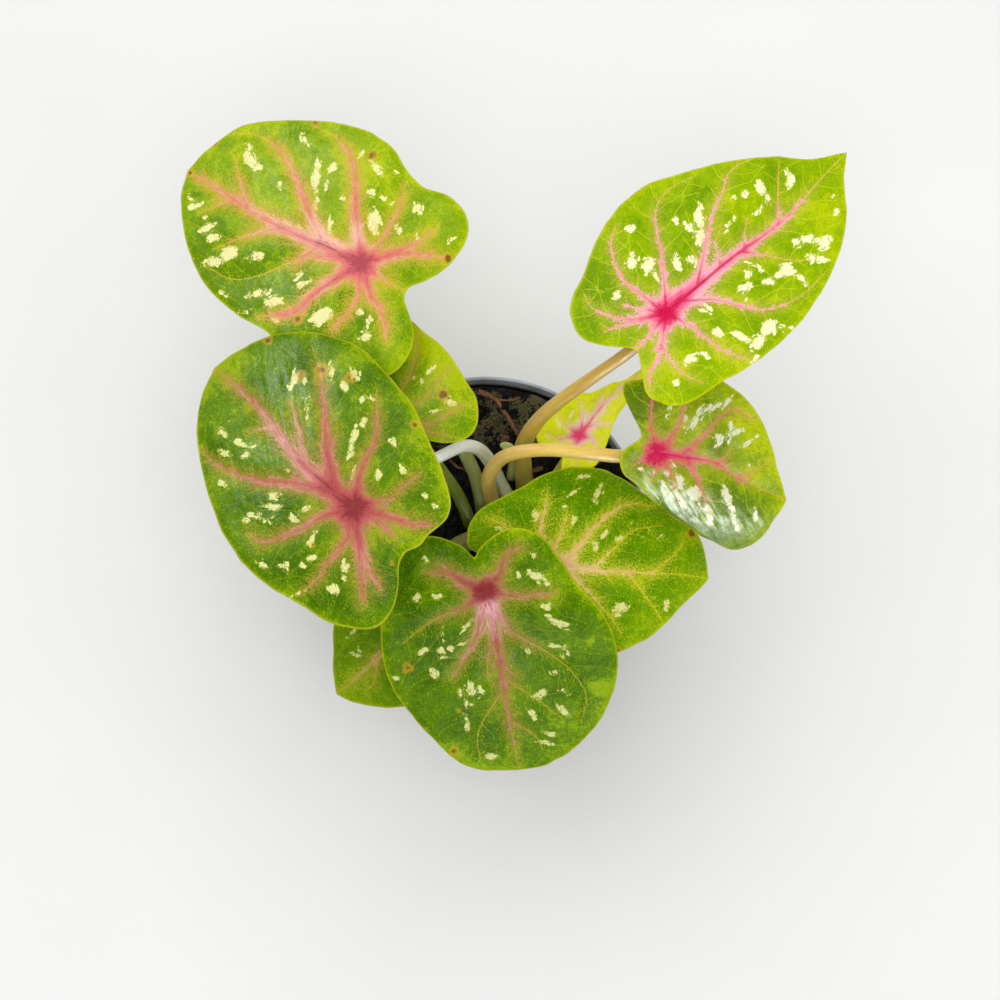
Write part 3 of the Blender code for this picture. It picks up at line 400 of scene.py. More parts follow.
# Looks of each leaf: spokes, upper rings and under rings of its mesh; radii of the dark centre and of the
# pink round it; then shares of yellow dust on the green, strength of the fine veins, how far the rim of the
# pink is pale and not tan, width of the pink, tan dust round it, dark core of the veins, and mirrored light
Look = namedtuple("Look", "grid heart dusty netted paling wide dusting cored shine")
LOOKS = {
    "upper_left": Look((500, 78, 22), (1.6, 3.6), 0.45, 0.4, 0.35, 0.95, 0.65, 0.15, 0.06),
    "left": Look((480, 76, 20), (2, 4.2), 0.4, 0.25, 0.3, 0.92, 0.5, 0.15, 0.05),
    "behind": Look((300, 46, 14), (1, 2.2), 0.35, 0.4, 0.2, 0.55, 0.4, 0.1, 0.05),
    "upper_right": Look((500, 80, 22), (1.8, 3.2), 0.1, 0.9, 0.7, 0.9, 0.2, 0.8, 0.04),
    "right": Look((400, 62, 16), (2, 3.4), 0.1, 0.7, 0.3, 0.78, 0.2, 0.6, 0.1),
    "young": Look((220, 44, 12), (0.9, 1.7), 0.05, 0.8, 0.7, 0.95, 0.25, 0.6, 0.05),
    "lower_right": Look((420, 64, 18), (1.4, 3.2), 0.85, 0.5, 0.4, 0.62, 0.5, 0.1, 0.04),
    "front": Look((480, 74, 20), (2, 3.6), 0.35, 0.3, 0.2, 0.88, 0.5, 0.15, 0.02),
    "lower_left": Look((260, 40, 12), (1.2, 2.6), 0.6, 0.4, 0.3, 0.8, 0.45, 0.1, 0.04),
}
# Soft patches, (x, y, radius, amount): where the pink is pale, partly the leaf's own paler pink and partly a
# painted highlight on the raised vein flanks, and where the skin is waxy
GLOW = {
    "upper_left": [
        (6, -2.2, 3, 1), (10, -1.4, 3, 0.8), (15, 0.5, 4, 0.5), (22, 1, 5, 0.35), (3, -5, 2.5, 0.6),
        (5, 6, 3, 0.4)],
    "left": [(10, 1.5, 3, 0.5), (16, 0.8, 4, 0.6), (22, 0, 4, 0.6), (4, 8, 3, 0.3), (-8, 5, 3, 0.4)],
    "behind": [(4, 0, 4, 0.3)],
    "upper_right": [
        (7, -3, 3, 1.1), (11, -2.6, 3, 0.9), (12, 2.4, 3, 0.7), (3, 5, 2.5, 0.6), (-3, 4, 2.5, 0.5),
        (1.5, -3.6, 2, 0.5), (-5, -4, 2.5, 0.3), (17, 1.5, 3, 0.4)],
    "right": [(9, 0, 2.5, 0.5), (7, 7, 3, 0.5), (1.5, 8, 3, 0.5), (-4, 8, 3, 0.4), (15, 1, 3, 0.5)],
    "young": [(3, 2, 2.5, 0.5), (3, -2, 2, 0.5), (8, 0.8, 3.5, 0.7), (-2, -2, 2, 0.4)],
    "lower_right": [(5, -0.8, 4, 0.7), (9, -0.8, 4, 0.4)],
    "front": [(3, 0.2, 1.9, 1.1), (6.5, 0.1, 2.6, 0.6), (10, -5, 3, 0.3)],
    "lower_left": [(14, 0.2, 5, 0.4)],
}
WAXY = {
    "upper_left": [(10, 10, 9, 0.35), (22, -8, 9, 0.3)],
    "left": [(27, -9, 8, 0.9), (16, 9, 8, 0.3), (-13, 6, 4, 0.4), (18, 0.5, 6, 0.6)],
    "behind": [(0, -8, 6, 0.2)],
    "upper_right": [(-6, 8, 5, 0.25)],
    "right": [
        (6, -8, 4, 1.6), (12, -9, 4.5, 1.8), (18, -8.5, 4.5, 1.6), (2, -5, 3, 1.2), (-3, -2, 2.5, 0.7),
        (24, -5, 3, 0.8)],
    "young": [(8, -4, 4, 0.4)],
    "lower_right": [(8, -3, 5, 0.2)],
    "front": [(4, 0, 2.4, 0.5), (12, 5, 4, 0.12), (12, -5, 4, 0.12)],
    "lower_left": [(14, 0, 6, 0.2)],
}

# The colours of each stalk at its foot and under its leaf, and of its lengthwise streaks, 0 to 255
STALK_COLOURS = {
    "upper_left": ((168, 178, 104), (190, 196, 128), (140, 148, 76)),
    # The left stalk's near-white top and streak colours are a painted highlight on its arch.
    "left": ((204, 208, 150), (255, 255, 255), (236, 240, 226)),
    "behind": ((122, 142, 44), (140, 156, 52), (96, 112, 32)),
    "upper_right": ((186, 178, 72), (222, 184, 72), (180, 132, 52)),
    "right": ((216, 196, 98), (246, 214, 96), (222, 160, 96)),
    "young": ((190, 196, 84), (206, 212, 90), (150, 144, 62)),
    "lower_right": ((140, 156, 56), (154, 172, 62), (110, 124, 42)),
    "front": ((184, 190, 104), (168, 178, 86), (140, 146, 74)),
    "lower_left": ((170, 166, 96), (176, 172, 100), (128, 116, 64)),
    "sheath": ((186, 192, 104), (204, 212, 132), (158, 160, 84)),
}

# Colours of small marks, 0 to 255
YELLOW_DUST = (232, 210, 40)
VEIN_LIME = (214, 224, 60)
SPOT_HALO = (214, 170, 40)
UNDERSIDE = (158, 172, 104)
SCUFF = (96, 100, 110)
SOIL_SPECK = (96, 84, 80)
PALE_CRUMB = (176, 166, 148)
MOSS_PATCH = (128, 122, 64)
TWIG_STREAK = (186, 140, 96)

# Twigs and roots: radius at the start and the end, and points in plan with a height above the soil
TWIGS = [
    (0.5, 0.42, [
        (-1.6, 27.2, 0.7), (0, 26.9, 0.9), (1.9, 25.9, 1.1), (3.4, 23.8, 1.1), (4.9, 21.4, 0.9),
        (6.3, 19.4, 0.5)]),
    (0.28, 0.16, [(1.5, 26.1, 0.8), (3.8, 25.7, 1), (6.5, 26.2, 0.4)]),
    (0.3, 0.2, [(-6.9, 14.7, 0.3), (-5.7, 13.5, 0.7), (-4.2, 12.7, 0.7), (-3.1, 11.9, 0.2)]),
    (0.3, 0.2, [(-17, -8, 0.2), (-14, -11, 0.7), (-12, -15, 0.8), (-8.5, -17, 0.3)]),
    (0.26, 0.16, [(14, -14, 0.2), (17, -11, 0.6), (21, -10.4, 0.5), (23.5, -8, 0.1)]),
    (0.24, 0.14, [(-20, 6, 0.2), (-18, 9.4, 0.6), (-19, 13, 0.6), (-17, 16, 0.1)]),
    (0.34, 0.22, [(3.5, -20, 0.2), (7, -21, 0.7), (11, -20.4, 0.7), (13.5, -22, 0.1)]),
]
# Chips of bark: x, y, half-length, half-width, turn in degrees
CHIPS = [
    (11, 24.4, 1.5, 0.9, 20), (8.8, 24.2, 1.1, 0.6, -35), (3.6, 18.6, 1.3, 0.8, 60),
    (9.9, 12.7, 1.2, 0.6, 10), (-14, -4, 1.8, 1, 70), (18, -17, 1.6, 0.9, -20), (-7, -22, 1.7, 0.8, 15),
    (21, 7, 1.4, 0.8, 80), (-21, -12, 1.3, 0.7, 40), (14.5, 18.5, 1.2, 0.6, 55), (-11, 21, 1.4, 0.8, -50),
    (0.5, 22, 1, 0.6, 5)]
# Cushions of moss: x, y, radius
CUSHIONS = [
    (-7, 21.5, 3), (-3.4, 23.2, 3), (0.4, 20.2, 2.6), (2.6, 22.2, 2.2), (8.4, 21.2, 3), (11.6, 19.4, 2.6),
    (-9.5, 17.8, 2.4), (13.6, 22, 2.2), (5.6, 24.6, 1.8), (-4.8, 18.4, 1.8), (18, 14, 2.4), (-20, 1, 2.6),
    (-16, -15, 2.8), (8, -24, 2.6), (23, -6, 2.4), (9.4, 24.4, 2.4), (1.4, 25.8, 1.8), (-3, 26, 2),
    (13, 22.6, 2.2), (-7.6, 24.8, 2.2), (-12, 21.6, 2.4), (16.4, 19.6, 2.2), (4, 23, 2)]


def screen(colour):
    """A colour of 0 to 255 on the screen as the linear colour that a shader takes."""
    share = np.asarray(colour, float) / 255.0
    linear = np.where(share <= 0.04045, share / 12.92, ((share + 0.055) / 1.055) ** 2.4)
    return tuple(float(part) for part in linear)


def size(name, text, value, unit="LENGTH"):
    """A length in metres, or another measure, that a user may change."""
    return FloatProperty(name=name, description=text, default=value, min=0.0, unit=unit, precision=5)


def share(name, text, value, top=1.0):
    """A plain share that a user may change."""
    return FloatProperty(name=name, description=text, default=value, min=0.0, max=top, subtype="FACTOR")


def tint(name, text, colour):
    """A colour that a user may change, given as 0 to 255 on the screen."""
    return FloatVectorProperty(name=name, description=text, default=screen(colour), min=0.0, max=1.0,
                               subtype="COLOR")


class CaladiumLeafSettings(PropertyGroup):
    """Sizes and colours of the leaf blades."""
    thickness: size("Thickness", "Thickness of a blade near its stalk", 0.00036)
    margin_thickness: size("Margin thickness", "Thickness of a blade at its margin", 0.0002)
    groove: size("Vein groove", "Depth of the groove over a main vein", 0.00016)
    rib: size("Rib", "Height of a main vein below the blade", 0.0003)
    puff: size("Puffing", "Height of the soft unevenness of the blade", 0.00012)
    pillow: size("Pillows", "Height of the blade between its main veins over the veins", 0.0004)
    bleed: share("Pink reach", "How far the pink spreads from the veins", 1.0, 2.0)
    gloss: share("Roughness", "Roughness of the upper side", 0.38)
    cream: tint("Blotch tint", "Colour that tints the pale blotches", (255, 255, 255))
    rust: tint("Age spots", "Colour of the brown age spots", (120, 70, 22))


class CaladiumStalkSettings(PropertyGroup):
    """Sizes of the stalks and the sheath."""
    rib_depth: size("Rib depth", "Depth of the lengthwise ribs", 0.00004)
    gloss: share("Roughness", "Roughness of the stalks", 0.34)


class CaladiumPotSettings(PropertyGroup):
    """Colours of the pot."""
    plastic: tint("Plastic", "Colour of the pot", (34, 36, 43))
    lip: tint("Lip", "Colour of the pot's worn lip", (188, 192, 206))
    dust: tint("Dust", "Colour of dried soil on the pot", (112, 96, 76))
    gloss: share("Roughness", "Roughness of the clean plastic", 0.36)


class CaladiumSoilSettings(PropertyGroup):
    """Sizes and colours of the soil and what lies on it."""
    dark: tint("Damp soil", "Colour of the soil in its hollows", (15, 13, 19))
    light: tint("Drier soil", "Colour of the soil on its crumbs", (46, 40, 47))
    moss: tint("Moss", "Colour of the moss", (148, 142, 104))
    twig: tint("Twigs", "Colour of twigs and roots", (128, 88, 68))
    bark: tint("Bark", "Colour of the chips of bark", (148, 104, 78))
    tuber: tint("Tuber", "Colour of the tuber's skin", (104, 76, 52))
    crumb: size("Crumb size", "Middle radius of a crumb", 0.00042)
    crumbs: IntProperty(name="Crumbs", description="Crumbs on the soil", default=1500, min=0, max=4000)


class CaladiumStageSettings(PropertyGroup):
    """The floor and the light."""
    floor: tint("Floor", "Colour of the floor", (244, 244, 242))
    sky: size("Sky", "Strength of the light from all round", 0.56, "NONE")
    gleam: size("Gleam", "Strength of the mirrored light", 0.07, "NONE")
    key: size("Key", "Power of the soft light", 3.9, "POWER")


class CaladiumSettings(PropertyGroup):
    """All the settings of the plant."""
    leaves: PointerProperty(type=CaladiumLeafSettings)
    stalks: PointerProperty(type=CaladiumStalkSettings)
    pot: PointerProperty(type=CaladiumPotSettings)
    soil: PointerProperty(type=CaladiumSoilSettings)
    stage: PointerProperty(type=CaladiumStageSettings)


# Meshes

def placed(name, data):
    """A new object in the scene."""
    made = bpy.data.objects.new(name, data)
    bpy.context.scene.collection.objects.link(made)
    return made


def mesh_object(name, points, faces, material, fields=None):
    """An object at the origin from points in millimetres and blocks of faces, a row of corners for each;
    fields are named values, or rows of three, one for each point."""
    blocks = [np.asarray(block, np.int32) for block in faces]
    corners = np.concatenate([np.full(len(block), block.shape[1], np.int32) for block in blocks])
    mesh = bpy.data.meshes.new(name)
    mesh.vertices.add(len(points))
    mesh.loops.add(int(corners.sum()))
    mesh.polygons.add(len(corners))
    mesh.vertices.foreach_set("co", (np.asarray(points) * MM).astype(np.float32).ravel())
    mesh.polygons.foreach_set("loop_start", np.concatenate([[0], np.cumsum(corners)[:-1]]).astype(np.int32))
    mesh.loops.foreach_set("vertex_index", np.concatenate([block.ravel() for block in blocks]))
    mesh.update(calc_edges=True)
    mesh.shade_smooth()
    for title, values in (fields or {}).items():
        values = np.asarray(values, np.float32)
        kind, key = ("FLOAT", "value") if values.ndim == 1 else ("FLOAT_VECTOR", "vector")
        mesh.attributes.new(title, kind, "POINT").data.foreach_set(key, values.ravel())
    mesh.materials.append(material)
    return placed(name, mesh)


def settled(piece, node=None):
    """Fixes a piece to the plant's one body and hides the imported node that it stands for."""
    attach(piece, "root")
    if node:
        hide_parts(node)


def ring_faces(rows, columns):
    """Faces of a closed form: quads between the rings of a grid, and fans from its first and last ring to two
    centres that follow the grid's points. Seen from outside, rows rise and columns run counterclockwise."""
    here = np.arange(rows * columns).reshape(rows, columns)
    after = np.roll(here, -1, axis=1)
    start, end = np.full((2, columns), [[here.size], [here.size + 1]])
    return [np.stack([here[:-1], after[:-1], after[1:], here[1:]], -1).reshape(-1, 4),
            np.stack([start, after[0], here[0]], -1), np.stack([end, here[-1], after[-1]], -1)]


def around(radius, height, turned):
    """Points about Z: radius times the cosine and the sine of each angle, at a height."""
    return np.stack([radius * np.cos(turned), radius * np.sin(turned), height + 0 * radius * turned], -1)


def turns_about(axis, angle):
    """Rotation matrices for angles in radians about X, Y or Z, given as 0, 1 or 2."""
    one, other = (axis + 1) % 3, (axis + 2) % 3
    turns = np.zeros(np.shape(angle) + (3, 3))
    turns[..., axis, axis] = 1.0
    turns[..., one, one] = turns[..., other, other] = np.cos(angle)
    turns[..., other, one] = np.sin(angle)
    turns[..., one, other] = -np.sin(angle)
    return turns


def wander(x, y, cell, seed):
    """Smooth random heights from -1 to 1: random values at the corners of square cells, blended between
    them by the curve 3 s squared less 2 s cubed."""
    side = 128
    table = np.random.default_rng(seed).uniform(-1.0, 1.0, (side, side))
    u, v = x / cell + 37.2, y / cell + 51.7
    i, j = (np.floor(part).astype(int) for part in (u, v))
    s, t = (part * part * (3 - 2 * part) for part in (u - i, v - j))
    low, high = (table[k % side, j % side] * (1 - t) + table[k % side, (j + 1) % side] * t
                 for k in (i, i + 1))
    return low * (1 - s) + high * s


def round_turns(count):
    """Even angles round a circle."""
    return np.arange(count) * 2 * np.pi / count


def running(steps):
    """Sums of the steps so far, from 0."""
    return np.concatenate([[0.0], np.cumsum(steps)])


def gaps(points):
    """Distances from each point to the next."""
    return np.linalg.norm(np.diff(points, axis=0), axis=1)


def slopes(points, step):
    """Slopes at points that lie steps apart: plain at both ends, weighed across the neighbours between."""
    rise = np.diff(points, axis=0) / step
    inner = (rise[:-1] * step[1:] + rise[1:] * step[:-1]) / (step[:-1] + step[1:])
    return np.concatenate([rise[:1], inner, rise[-1:]])


def cubic(s, step, start, end, leaving, arriving):
    """The cubic from start to end with given slopes over a step, at shares s of it: 2 s cubed less 3 s
    squared plus 1 times the start, and so on."""
    return ((2 * s**3 - 3 * s**2 + 1) * start + (s**3 - 2 * s**2 + s) * step * leaving
            + (3 * s**2 - 2 * s**3) * end + (s**3 - s**2) * step * arriving)


def smooth_path(points, step):
    """Points along a curve that passes through the given ones and leaves the first one in a straight
    line, about one step apart: cubic pieces with slopes taken across the neighbours."""
    points = np.array(points, float)
    run = running(np.sqrt(gaps(points)))
    slope = slopes(points, np.diff(run)[:, None])
    slope[1] = slope[0]
    fine = np.linspace(0.0, run[-1], 400)
    k = np.clip(np.searchsorted(run, fine, side="right") - 1, 0, len(points) - 2)
    h = (run[k + 1] - run[k])[:, None]
    s = (fine - run[k])[:, None] / h
    curve = cubic(s, h, points[k], points[k + 1], slope[k], slope[k + 1])
    length = running(gaps(curve))
    count = max(4, round(length[-1] / step))
    even = np.linspace(0.0, length[-1], count + 1)
    return np.stack([np.interp(even, length, curve[:, axis]) for axis in range(points.shape[1])], -1)


def carried_ring(path, radii, sides, ribs, rib_count, end_normal=None):
    """A round section carried along a path: each ring lies across the path, its radius is the one given
    there times one plus ribs times a cosine round it, and both ends are closed by a fan."""
    direction = np.gradient(path, axis=0)
    direction /= np.linalg.norm(direction, axis=1, keepdims=True)
    if end_normal is not None:
        direction[-1] = end_normal
    side = np.eye(3)[int(abs(direction[0][0]) >= 0.8)]
    sideways = np.empty_like(path)
    for k, ahead in enumerate(direction):
        side = side - ahead * (side @ ahead)
        side /= np.linalg.norm(side)
        sideways[k] = side
    across = np.cross(direction, sideways)
    turned = round_turns(sides)
    lobed = radii[:, None] * (1 + ribs / radii.max() * np.cos(rib_count * turned + 0.8 * np.sin(2 * turned)))
    length = running(gaps(path))
    skin = around(lobed, length[:, None], turned)
    points = path[:, None] + skin[..., :1] * sideways[:, None] + skin[..., 1:2] * across[:, None]
    points = np.concatenate([points.reshape(-1, 3), path[[0, -1]]])
    skin = np.concatenate([skin.reshape(-1, 3), [(0, 0, 0), (0, 0, length[-1])]])
    return points, ring_faces(len(path), sides), skin


def turned_shape(profile, sides):
    """Points and faces of a profile of (radius, height) turned about Z, from and to the axis."""
    profile = np.array(profile, float)
    radius, height = profile[1:-1].T[..., None]
    ends = profile[[0, -1]] @ [[0, 0, 0], [0, 0, 1]]
    points = np.concatenate([around(radius, height, round_turns(sides)).reshape(-1, 3), ends])
    return points, ring_faces(len(radius), sides)


# Leaf forms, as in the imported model

def leaf_axes(leaf):
    """Columns are the midrib's direction, the left side and the upper normal of the blade at its junction."""
    turn, droop, roll = np.radians([leaf.turn, leaf.droop, leaf.roll])
    return turns_about(2, turn) @ turns_about(1, droop) @ turns_about(0, roll)


def reach(leaf, angle):
    """Distance from the junction to the margin at angles in degrees: a smooth closed curve through the
    stated reaches, with slopes taken across the neighbours, and a sharp tip at angle 0."""
    a = np.array([*leaf.edge, 360.0])
    r = np.array([*leaf.edge.values(), leaf.edge[0]])
    step = np.diff(a)
    slope = slopes(r, step)
    angle = np.mod(np.asarray(angle, float), 360.0)
    k = np.clip(np.searchsorted(a, angle, side="right") - 1, 0, len(step) - 1)
    return cubic((angle - a[k]) / step[k], step[k], r[k], r[k + 1], slope[k], slope[k + 1])


def blade_height(leaf, x, y):
    """Height of the blade above its junction plane: it bends down to the tip, the lobes and both sides,
    has a fold along the midrib, and waves that grow away from the junction."""
    left_bend, right_bend = leaf.side_bend
    height, count, phase = leaf.wave
    away = x * x + y * y
    grown = away / (away + WAVE_START**2)
    bend = np.where(x > 0, leaf.tip_bend, leaf.lobe_bend) * x * x
    side = np.where(y > 0, left_bend, right_bend) * y * y
    fold = leaf.crease * (np.sqrt(y * y + CREASE_ROUND**2) - CREASE_ROUND)
    wave = height * grown * np.sin(count * np.arctan2(y, x) + math.radians(phase))
    return fold + wave - bend - side


def blade_points(leaf, x, y):
    """World points of the blade's middle surface and its unit normals there."""
    axes = leaf_axes(leaf)
    step = 0.05
    z = blade_height(leaf, x, y)
    dx = (blade_height(leaf, x + step, y) - blade_height(leaf, x - step, y)) / (2 * step)
    dy = (blade_height(leaf, x, y + step) - blade_height(leaf, x, y - step)) / (2 * step)
    normal = np.stack([-dx, -dy, np.ones_like(x)], -1)
    normal /= np.linalg.norm(normal, axis=-1, keepdims=True)
    place = np.stack([x, y, z], -1) @ axes.T + leaf.junction
    return place, normal @ axes.T


# Leaf markings, as fields over the blade's own plane

def beside_line(x, y, line):
    """Distance from each point to a broken line's nearest piece, the run along it there, and the side."""
    start = line[:-1]
    ahead_x, ahead_y = (line[1:] - start).T
    length = np.hypot(ahead_x, ahead_y)
    px = x[:, None] - start[:, 0]
    py = y[:, None] - start[:, 1]
    part = np.clip((px * ahead_x + py * ahead_y) / length**2, 0.0, 1.0)
    away = np.hypot(px - part * ahead_x, py - part * ahead_y)
    near = away.argmin(1)
    rows = np.arange(len(x))
    along = running(length)[near] + part[rows, near] * length[near]
    side = np.where(ahead_x[near] * py[rows, near] > ahead_y[near] * px[rows, near], 1.0, -1.0)
    return away[rows, near], along, side


def side_branches(lines):
    """Fine branches off the veins: they leave to the left and the right in turn, every few millimetres,
    and curve toward the vein's end, each a broken line with the number of its vein."""
    branches = []
    steps = np.arange(9)
    for index, line in enumerate(lines):
        ahead = np.gradient(line, axis=0)
        heading = np.arctan2(ahead[:, 1], ahead[:, 0])
        for count, k in enumerate(range(2, len(line) - 1, 2)):
            turn = 1 if count % 2 else -1
            bend = BRANCH_TURN - BRANCH_EASING * steps + BRANCH_SWAY * np.sin(2.3 * k + 1.3 * steps)
            bend = heading[k] + turn * np.radians(bend)
            run = np.cumsum(BRANCH_PACE * np.stack([np.cos(bend), np.sin(bend)], -1), axis=0)
            branches.append((index, np.concatenate([line[k:k + 1], line[k] + run])))
    return branches


def leaf_fields(name, x, y, share_out, margin, bleed):
    """The marks as fields in millimetres: pink is the soft maximum, the logarithm of a sum of exponentials,
    of half-width less distance over the heart and the veins; flow runs along and across the pinkest one;
    vein and branch are distances to the nearest, across the same with a sign for the side; blotch is the
    plain maximum over the blotches; edge is the distance to the margin; tone, glow and waxy sum soft round
    patches."""
    rows = np.arange(len(x))
    first, last, rosy = (np.array([vein[:3] for vein in VEINS[name]]) / (10, 10, 100)).T[..., None]
    lines = [smooth_path(np.reshape(vein[3:], (-1, 2)) / 10, 1.0) for vein in VEINS[name]]
    length = np.array([[running(gaps(line))[-1]] for line in lines])
    away, along, side = np.stack([beside_line(x, y, line) for line in lines], 1)
    aside = side * away
    part = along / (length * rosy)
    width = last + (first - last) * np.clip(1.0 - part, 0.0, 1.0) ** 1.3
    width -= 0.3 * length * rosy * np.maximum(part - 1.0, 0.0)
    angle, away_junction = np.arctan2(y, x), np.hypot(x, y)
    dark, wide = LOOKS[name].heart
    heart = wide * bleed * (1 + 0.1 * np.sin(5 * angle)) - away_junction
    values = np.concatenate([[heart], width * bleed - away])
    pinkest = values.argmax(0)
    flow = np.stack([np.concatenate([[away_junction], along])[pinkest, rows],
                     np.concatenate([[3 * np.sin(angle)], aside])[pinkest, rows],
                     np.where(pinkest > 0, 7.3 * pinkest, 3 * np.cos(angle))], -1)
    owner = away.argmin(0)
    heft = 1 - 0.75 * along / length
    heft[1:] *= 0.7
    branch, branch_across = np.full((2, len(x)), FAR)
    for index, line in side_branches(lines):
        middle = line.mean(0)
        near = np.flatnonzero((owner == index) & (np.abs(x - middle[0]) < 8) & (np.abs(y - middle[1]) < 8))
        if len(near) and len(lines[index]) > 7:
            off, _, side = beside_line(x[near], y[near], line)
            better = off < branch[near]
            branch[near[better]] = off[better]
            branch_across[near[better]] = (side * off)[better]
    marks = np.array([mark if len(mark) > 3 else (*mark, mark[2], 0) for mark in BLOTCHES[name]], float)
    mark_x, mark_y, half_length, half_width, turn = (marks / (10, 10, 10, 10, 180 / np.pi)).T[..., None]
    u = (x - mark_x) * np.cos(turn) + (y - mark_y) * np.sin(turn)
    v = (y - mark_y) * np.cos(turn) - (x - mark_x) * np.sin(turn)
    inside = (1 - np.hypot(u / half_length, v / half_width)) * np.minimum(half_length, half_width) * 1.2
    best = inside.argmax(0)
    tone, glow, waxy = (
        sum(amount * np.exp(-((x - px) ** 2 + (y - py) ** 2) / radius**2)
            for px, py, radius, amount in patches[name]) for patches in (TONES, GLOW, WAXY))
    spot = np.full(len(x), -FAR)
    for spot_x, spot_y, radius, strength in SPOTS.get(name, ()):
        spot = np.maximum(spot, strength - np.hypot(x - spot_x, y - spot_y) / radius)
    return dict(pink=PINK_SOFTNESS * np.log(np.exp(values / PINK_SOFTNESS).sum(0) + 1e-9), flow=flow,
                vein=away[owner, rows], across=aside[owner, rows], heft=heft[owner, rows],
                heart=dark - away_junction, branch=branch, branch_across=branch_across,
                blotch=inside[best, rows], shard=np.stack([u[best, rows], v[best, rows], 5.1 * best], -1),
                tone=tone, spot=spot, glow=glow, waxy=waxy, edge=margin * (1 - share_out),
                plane=np.stack([x, y, np.full(len(x), 20.0 * list(LEAVES).index(name))], -1))


def build_leaf(name, look, material):
    """A blade: spokes run from the junction to the margin, crossed by rings, the under side's outward and
    then the upper side's inward, closer near the margin. Both sides stand half a thickness off the middle
    surface; grooves, ribs, soft puffing and a finely uneven margin are added along the normal."""
    leaf = LEAVES[name]
    spokes, rings, under_rings = LOOKS[name].grid
    fine = np.linspace(0.0, 360.0, 2881)
    run = running(gaps(around(reach(leaf, fine), 0.0, np.radians(fine))))
    angles = np.interp(np.arange(spokes) * run[-1] / spokes, run, fine)
    turned = np.radians(angles)
    margin = reach(leaf, angles)
    margin = margin - 0.1 + 0.1 * wander(margin * np.cos(turned), margin * np.sin(turned), 2.2, 5)
    rows = np.concatenate([np.arange(1, under_rings + 1) / under_rings, [1.0],
                           1 - (np.arange(rings) / rings) ** 1.25])
    side = np.append(np.repeat([-1.0, 0.0, 1.0], np.array([under_rings, 1, rings]) * spokes), (-1, 1))
    shares = np.append(np.repeat(rows, spokes), (0, 0))
    spread, bearing = (np.append(np.tile(part, len(rows)), part[:2]) for part in (margin, turned))
    x, y, _ = around(shares * spread, 0.0, bearing).T
    middle, normal = blade_points(leaf, x, y)
    fields = leaf_fields(name, x, y, shares, spread, look.bleed * LOOKS[name].wide)
    edge, vein, heft = fields["edge"], fields["vein"], fields["heft"]
    inner, outer = look.thickness / MM, look.margin_thickness / MM
    half = 0.5 * (outer + (inner - outer) * np.clip(edge / 6.0, 0.0, 1.0))
    groove = np.exp(-(vein / 0.6) ** 2) * (0.35 + heft) * np.clip(np.hypot(x, y) / 1.5, 0.2, 1.0)
    groove = look.groove / MM * (groove + 0.4 * np.exp(-(fields["branch"] / 0.35) ** 2))
    puff = look.puff / MM * (0.6 * wander(x, y, 2.4, 7) + 0.4 * wander(x, y, 1.1, 8))
    ribs = look.rib / MM * np.exp(-(vein / 0.55) ** 2) * (0.3 + heft)
    inside = np.clip(edge / 1.5, 0.0, 1.0)
    ripple = 0.2 * np.exp(-edge / 1.8) * wander(x, y, 3.2, 9)
    ripple += look.pillow / MM * (1 - np.exp(-(vein / 2.2) ** 2)) * inside
    lift = np.where(side > 0, half + inside * (puff - groove), np.where(side < 0, -half - inside * ribs, 0.0))
    outward = around(np.where(side == 0, 0.5 * outer, 0.0), 0.0, bearing) @ leaf_axes(leaf).T
    fields["upper"] = (side >= 0).astype(float)
    points = middle + normal * (lift + ripple)[:, None] + outward
    piece = mesh_object("leaf_%s_blade" % name, points, ring_faces(len(rows), spokes), material, fields)
    settled(piece, "leaf_" + name)


# Stalks, tuber, pot and soil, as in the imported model

def foot_point(x, y, radius):
    """A stalk's foot, a small gap above the tuber at the edge that is nearest to the crown."""
    near = max(0.0, math.hypot(x - CROWN[0], y - CROWN[1]) - radius) / TUBER_RADIUS
    return (x, y, TUBER_LEVEL + TUBER_HALF_HEIGHT * math.sqrt(max(0.0, 1.0 - near**2)) + GAP)


def wall_radius(height):
    """Outer radius of the pot's wall below its collar."""
    top = POT_RIM_RADIUS - COLLAR_STEP - 0.3
    return POT_BASE_RADIUS + 0.5 + (top - POT_BASE_RADIUS - 0.5) * height / (POT_HEIGHT - COLLAR_HEIGHT)


def soil_surface(x, y):
    """Height of the soil: level, mounded at the crown, with low clods."""
    away = (x - CROWN[0]) ** 2 + (y - CROWN[1]) ** 2
    mound = SOIL_MOUND * np.exp(-away / SOIL_MOUND_SPREAD**2)
    clods = 0.35 * np.sin(0.55 * x + 0.9) * np.sin(0.5 * y - 0.4) + 0.2 * np.sin(1.15 * x - 0.8 * y)
    return SOIL_LEVEL + mound + clods


def soil_height(x, y):
    """Height of the finished soil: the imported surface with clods, lumps and grains of random height."""
    lumps = 0.4 * wander(x, y, 3.1, 21) + 0.34 * np.abs(wander(x, y, 1.7, 22)) + 0.2 * wander(x, y, 0.9, 23)
    bank = 3.7 * np.clip((np.hypot(x, y) - 20.0) / 8.0, 0.0, 1.0) ** 1.5
    return soil_surface(x, y) - 0.1 + bank + lumps + 0.12 * wander(x, y, 0.5, 24)


